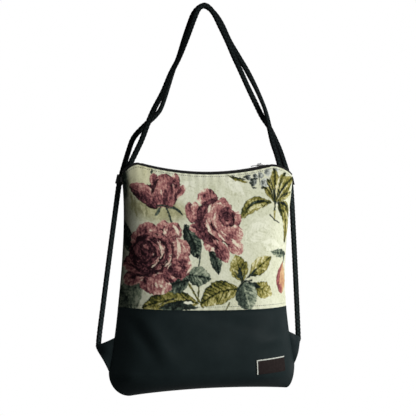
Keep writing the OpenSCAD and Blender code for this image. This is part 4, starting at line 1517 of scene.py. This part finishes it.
@dataclass
class Strap:
    """Flat braided strap from a side tab, through its corner loop and over the top to the other corner."""

    form: BagForm
    tab: SideTab
    turn: float
    legs: tuple[tuple[float, float, float, float], ...]
    bow: float = 0.5
    wide: float = 10.0
    thick: float = 5.0
    sewn: float = 5.0
    rise: float = 12.0
    run: float = 6.0
    inward: float = 1.0
    loop_down: float = 27.0
    loop_back: float = 11.0
    loop_out: float = 1.5
    loop_h: float = 16.0
    loop_lean: float = 14.0
    steps: int = 26
    sides: int = 28
    plait: float = 7.0
    plaits: int = 4
    relief: float = 0.35
    # dark is the painted shade in the plaits' crevices and at the narrow edges; pale is the yarn colour on
    # the plaits' tops
    dark: str = "#060808"
    pale: str = "#384343"
    # painted shade on the legs above the pouch: the colour falls to this share, blended in over this height
    # in millimetres
    painted_shade_above: float = 0.36
    painted_shade_blend: float = 40.0

    def route(self) -> Array:
        """Points that the strap runs through, each with its turn.

        The side run goes from the tab's tip to below the corner loop, bowed outward, and then along the
        loop's leaning axis. The legs over the top are places chosen from the photograph.

        Returns:
            Rows of x, y, z in millimetres and the turn in degrees.
        """
        form, hand = self.form, self.tab.hand
        inward = np.array([-hand * self.inward, 0.0, 0.0])
        foot = self.tab.tip + inward - [0, 0, self.sewn]
        head = self.tab.tip + inward + [0, 0, self.rise]
        level = np.float64(self.loop_down / (form.z_peak - form.z_seam))
        edge = float(form.centre_x(level) + hand * form.half_width(hand, level))
        loop = np.array([edge + hand * self.loop_out, self.loop_back, form.z_peak - self.loop_down])
        lean = math.radians(self.loop_lean)
        axis = np.array([-hand * math.sin(lean), 0.0, math.cos(lean)]) * (self.loop_h / 2 + self.run)
        below = loop - axis
        k = np.array([0.25, 0.5, 0.75])[:, None]
        bowed = np.concatenate([hand * self.bow * 4 * k * (1 - k), 0 * k, 0 * k], axis=1)
        rising = mix(head, below, k) + bowed
        side = np.concatenate([[foot, head], rising, [below, loop, loop + axis]])
        turns = np.array([self.turn] * 5 + [0.0] * 3)[:, None]
        legs = np.array(self.legs) * [1, 1, form.hang_drop / 100, 1]
        return np.concatenate([np.concatenate([side, turns], axis=1), legs])

    def line(self) -> Array:
        """Smooth line through the route by the Catmull-Rom blend of four neighbours."""
        route = self.route()
        padded = np.concatenate([route[:1], route, route[-1:]])
        a, b, c, d = padded[:-3], padded[1:-2], padded[2:-1], padded[3:]
        k = np.linspace(0, 1, self.steps, endpoint=False)[None, :, None]
        a, b, c, d = (p[:, None, :] for p in (a, b, c, d))
        squares, cubes = 2 * a - 5 * b + 4 * c - d, 3 * b - a - 3 * c + d
        curve = 0.5 * (2 * b + (c - a) * k + squares * k ** 2 + cubes * k ** 3)
        return np.concatenate([curve.reshape(-1, 4), route[-1:]])

    def build(self) -> None:
        """A ring is a flat oval; the plaits are the higher of two opposite slanting waves. The colour holds
        painted
        shade: darker in the crevices between plaits, along the narrow edges and on the legs above the
        pouch.
        """
        line = self.line()
        centre, turn = line[:, :3], np.radians(line[:, 3])[:, None, None]
        along = unit(np.gradient(centre, axis=0))
        flat = unit(np.cross(along, np.array([0.0, 1.0, 0.0])))[:, None, :]
        thick = np.cross(flat[:, 0], along)[:, None, :]
        length = stations(centre)[:, None]
        angle = round_angles(self.sides)[None, :]
        run = 2 * np.pi * length / self.plait
        weave = np.maximum(np.cos(run + self.plaits * angle), np.cos(run - self.plaits * angle))
        over = 1 + self.relief * (weave - 0.7) / self.thick
        u = (self.wide / 2 * np.cos(angle) * over)[..., None]
        w = (self.thick / 2 * np.sin(angle) * (1 + 2 * (over - 1)))[..., None]
        cos, sin = np.cos(turn), np.sin(turn)
        points = centre[:, None, :] + (u * cos - w * sin) * flat + (u * sin + w * cos) * thick
        # painted shade: the colour is darkened in the crevices between plaits and towards the narrow edges
        # of the oval
        bright = ease((weave + 0.6) / 1.6) * (0.06 + 0.94 * np.abs(np.sin(angle)) ** 6)
        # painted shade: the colour is darkened on the legs above the pouch
        high = ease((centre[:, 2:] - self.form.z_peak) / self.painted_shade_blend + 0.5)
        shade = mix(1.0, self.painted_shade_above, high)[..., None]
        colour = mix(linear(self.dark), linear(self.pale), bright[..., None]) * shade
        uv = np.stack(np.broadcast_arrays(angle * self.wide / 2, length), axis=-1) * MM
        name = f"strap_{self.tab.hand.name.lower()}"
        made = make_object(f"{name}_braid", listed(points), tube_faces(len(centre), self.sides),
                           BRAID.material(), listed(uv), listed(colour))
        settle(made, name)
        LOG.info("%s is %.3f m long", name, float(length[-1, 0]) * MM)


LEFT_LEGS = (
    (-136, 11, -92, -10), (-126, 10, -83, -5), (-104, 9, -74.5, -10), (-86, 8, -68.5, -25),
    (-75, 7, -62, -30), (-57, 6, -42, -30), (-46, 6, -31, -40), (-37, 5, -21, -30), (-27, 4, -11, -15),
    (-19, 3, -4, 0), (-10, 3, 0, 0), (0, 3, 1.8, 0), (11, 3, 0.4, 0), (24, 3, -4, 0), (36, 4, -10, 0),
    (50, 4, -20, 0),
    (68, 4, -30, 0), (85, 2, -40, 0), (102, -1, -52, 20), (116, -3, -64, 25), (123, -4, -74.5, 0),
    (130, -3, -84.5, 0), (138, -2, -92, 0), (145, 0, -99, 0), (151, 0, -105, 0),
)
RIGHT_LEGS = (
    (152, 10, -91, 0), (142, 9, -83.5, 0), (128, 8, -74.5, 0), (113, 6, -67.5, 25), (99, 3, -59, 20),
    (84, -1, -50, 0), (69, -4, -40, 0), (55, -4, -30, 0), (42, -4, -20, 0), (28, -3, -10, 0),
    (19, -3, -4, 0), (10, -3, 0, 0), (0, -3, 1.8, 0), (-11, -3, -0.5, 0), (-21, -4, -8, -15),
    (-33, -5, -19, -30), (-48, -5, -32, -40), (-64, -5, -43, -30), (-78, -5, -54.5, -30),
    (-95, -4, -66, -30), (-105, -3, -74.5, -10), (-116, -2, -85, 0), (-128, -1, -94, 0),
    (-137, 0, -101, 0), (-140, 0, -106, 0),
)


@dataclass(frozen=True)
class CadFinishes:
    """Finishes of the CAD nodes that stay as they are, with the nodes that each one dresses."""

    kept: tuple[tuple[Finish, tuple[str, ...]], ...] = (
        (ZIP_TAPE, ("zip_tape_front", "zip_tape_back", "corner_loop_left", "corner_loop_right")),
        (TEETH, ("zip_teeth_front", "zip_teeth_back")),
        (ZIP_METAL, ("zip_stops", "zip_slider", "zip_pull")),
    )

    def apply(self) -> None:
        """Gives each kept CAD node its material."""
        for finish, names in self.kept:
            for name in names:
                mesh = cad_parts[name].data
                mesh.materials.clear()
                mesh.materials.append(finish.material())


@dataclass(frozen=True)
class Lamp:
    """Square soft lamp aimed at a place, in metres."""

    name: str
    place: tuple[float, float, float]
    aim: tuple[float, float, float]
    size: float
    watts: float

    def build(self) -> None:
        """Adds the lamp to the scene."""
        data = bpy.data.lights.new(self.name, "AREA")
        data.size, data.energy = self.size, self.watts
        lamp = bpy.data.objects.new(self.name, data)
        lamp.location = self.place
        lamp.rotation_euler = (Vector(self.aim) - Vector(self.place)).to_track_quat("-Z", "Y").to_euler()
        bpy.context.scene.collection.objects.link(lamp)


@dataclass(frozen=True)
class Studio:
    """Camera, pale floor, white surroundings and soft lamps."""

    eye: tuple[float, float, float] = (-0.7458, -2.0698, -0.3532)
    ahead: tuple[float, float, float] = (0.342, 0.9397, 0.0)
    lens: float = 107.57
    sensor: float = 36.0
    floor_z: float = -1.2
    floor_reach: float = 2.0
    floor_grey: float = 0.6
    floor_glow: float = 0.93
    sky: float = 0.018
    lamps: tuple[Lamp, ...] = (
        Lamp("key_right", (1.3, -1.2, 0.0), (0.0, 0.0, -0.45), 0.6, 36.5),
        Lamp("back_right", (1.2, 1.9, 0.2), (0.0, 0.0, -0.45), 1.2, 26.0),
    )

    def build(self) -> None:
        """Adds the camera, the floor, the world and the lamps."""
        scene = bpy.context.scene
        data = bpy.data.cameras.new("camera")
        data.lens, data.sensor_width = self.lens, self.sensor
        camera = bpy.data.objects.new("camera", data)
        camera.location = self.eye
        camera.rotation_euler = Vector(self.ahead).to_track_quat("-Z", "Y").to_euler()
        scene.collection.objects.link(camera)
        scene.camera = camera
        scene.view_settings.view_transform = "Standard"
        self.floor()
        self.world()
        for lamp in self.lamps:
            lamp.build()

    def floor(self) -> None:
        """Adds a pale floor that glows white to the camera and keeps a faint shadow."""
        reach, z = self.floor_reach / MM, self.floor_z / MM
        points = np.array([[-reach, -reach, z], [reach, -reach, z], [reach, reach, z], [-reach, reach, z]])
        made = bpy.data.materials.new("pale_floor")
        tree = bare_tree(made)
        rays = add(tree, "ShaderNodeLightPath")
        matt = add(tree, "ShaderNodeBsdfDiffuse", {"Color": (*(self.floor_grey,) * 3, 1.0)})
        glow = add(tree, "ShaderNodeEmission", {"Color": WHITE, "Strength": 1.0})
        share = add(tree, "ShaderNodeMath", {0: rays.outputs["Is Camera Ray"], 1: self.floor_glow},
                    operation="MULTIPLY")
        both = add(tree, "ShaderNodeMixShader", {0: share.outputs[0], 1: matt.outputs[0],
                                                 2: glow.outputs[0]})
        add(tree, "ShaderNodeOutputMaterial", {"Surface": both.outputs[0]})
        make_object("floor", points, [np.array([[0, 1, 2, 3]])], made)

    def world(self) -> None:
        """Sets a white surround for the camera and reflections, and a dim one for other light."""
        world = bpy.data.worlds.new("surround")
        tree = bare_tree(world)
        rays = add(tree, "ShaderNodeLightPath")
        seen = add(tree, "ShaderNodeMath", {0: rays.outputs["Is Camera Ray"],
                                            1: rays.outputs["Is Glossy Ray"]}, operation="MAXIMUM")
        strength = add(tree, "ShaderNodeMix", {"Factor": seen.outputs[0], "A": self.sky, "B": 1.0},
                       data_type="FLOAT")
        white = add(tree, "ShaderNodeBackground", {"Color": WHITE, "Strength": strength.outputs["Result"]})
        add(tree, "ShaderNodeOutputWorld", {"Surface": white.outputs[0]})
        bpy.context.scene.world = world


FRONT_DENTS = (
    Dent(-118, -330, 40, 30, 20, 1.6), Dent(40, -420, 70, 60, 0, 1.2), Dent(-30, -480, 60, 30, -10, -1.2),
)
BASE_DENTS = (
    Dent(-126, -574, 46, 12, -60, -3.4), Dent(-100, -578, 46, 14, -60, 3.2),
    Dent(-60, -585, 60, 14, 12, -1.2), Dent(138, -560, 24, 26, 30, 2.6), Dent(60, -560, 50, 14, -14, -1.6),
    Dent(10, -610, 50, 20, 10, 2.0), Dent(-150, -646, 20, 14, 40, 4.0), Dent(110, -655, 34, 9, 0, 3.0),
    Dent(132, -588, 34, 8, 6, 2.2), Dent(160, -648, 20, 26, 0, 3.6),
)


def main() -> None:
    """Builds every sub-assembly in order and reports what was made."""
    logging.basicConfig(level=logging.INFO, format="%(name)s: %(message)s")
    form = BagForm()
    front, back = TapestryPanel(form, Side.FRONT, dents=FRONT_DENTS), TapestryPanel(form, Side.BACK)
    base = LeatherBase(form, dents=BASE_DENTS)
    left, right = SideTab(form, Hand.LEFT), SideTab(form, Hand.RIGHT)
    parts: list[Any] = [
        front, back,
        *(Topstitch(wall, level, f"topstitch_{wall.side.name.lower()}_{edge}")
          for wall in (front, back) for level, edge in ((0.021, "top"), (0.976, "seam"))),
        base, Label(base), Lining(form, base), *(ZipEdge(form, side) for side in Side), left, right,
        *(SideSeam(form, hand) for hand in Hand),
        Strap(form, left, turn=-10.0, legs=LEFT_LEGS), Strap(form, right, turn=20.0, legs=RIGHT_LEGS),
    ]
    for part in parts:
        part.build()
    CadFinishes().apply()
    Studio().build()


if __name__ == "__main__":
    main()
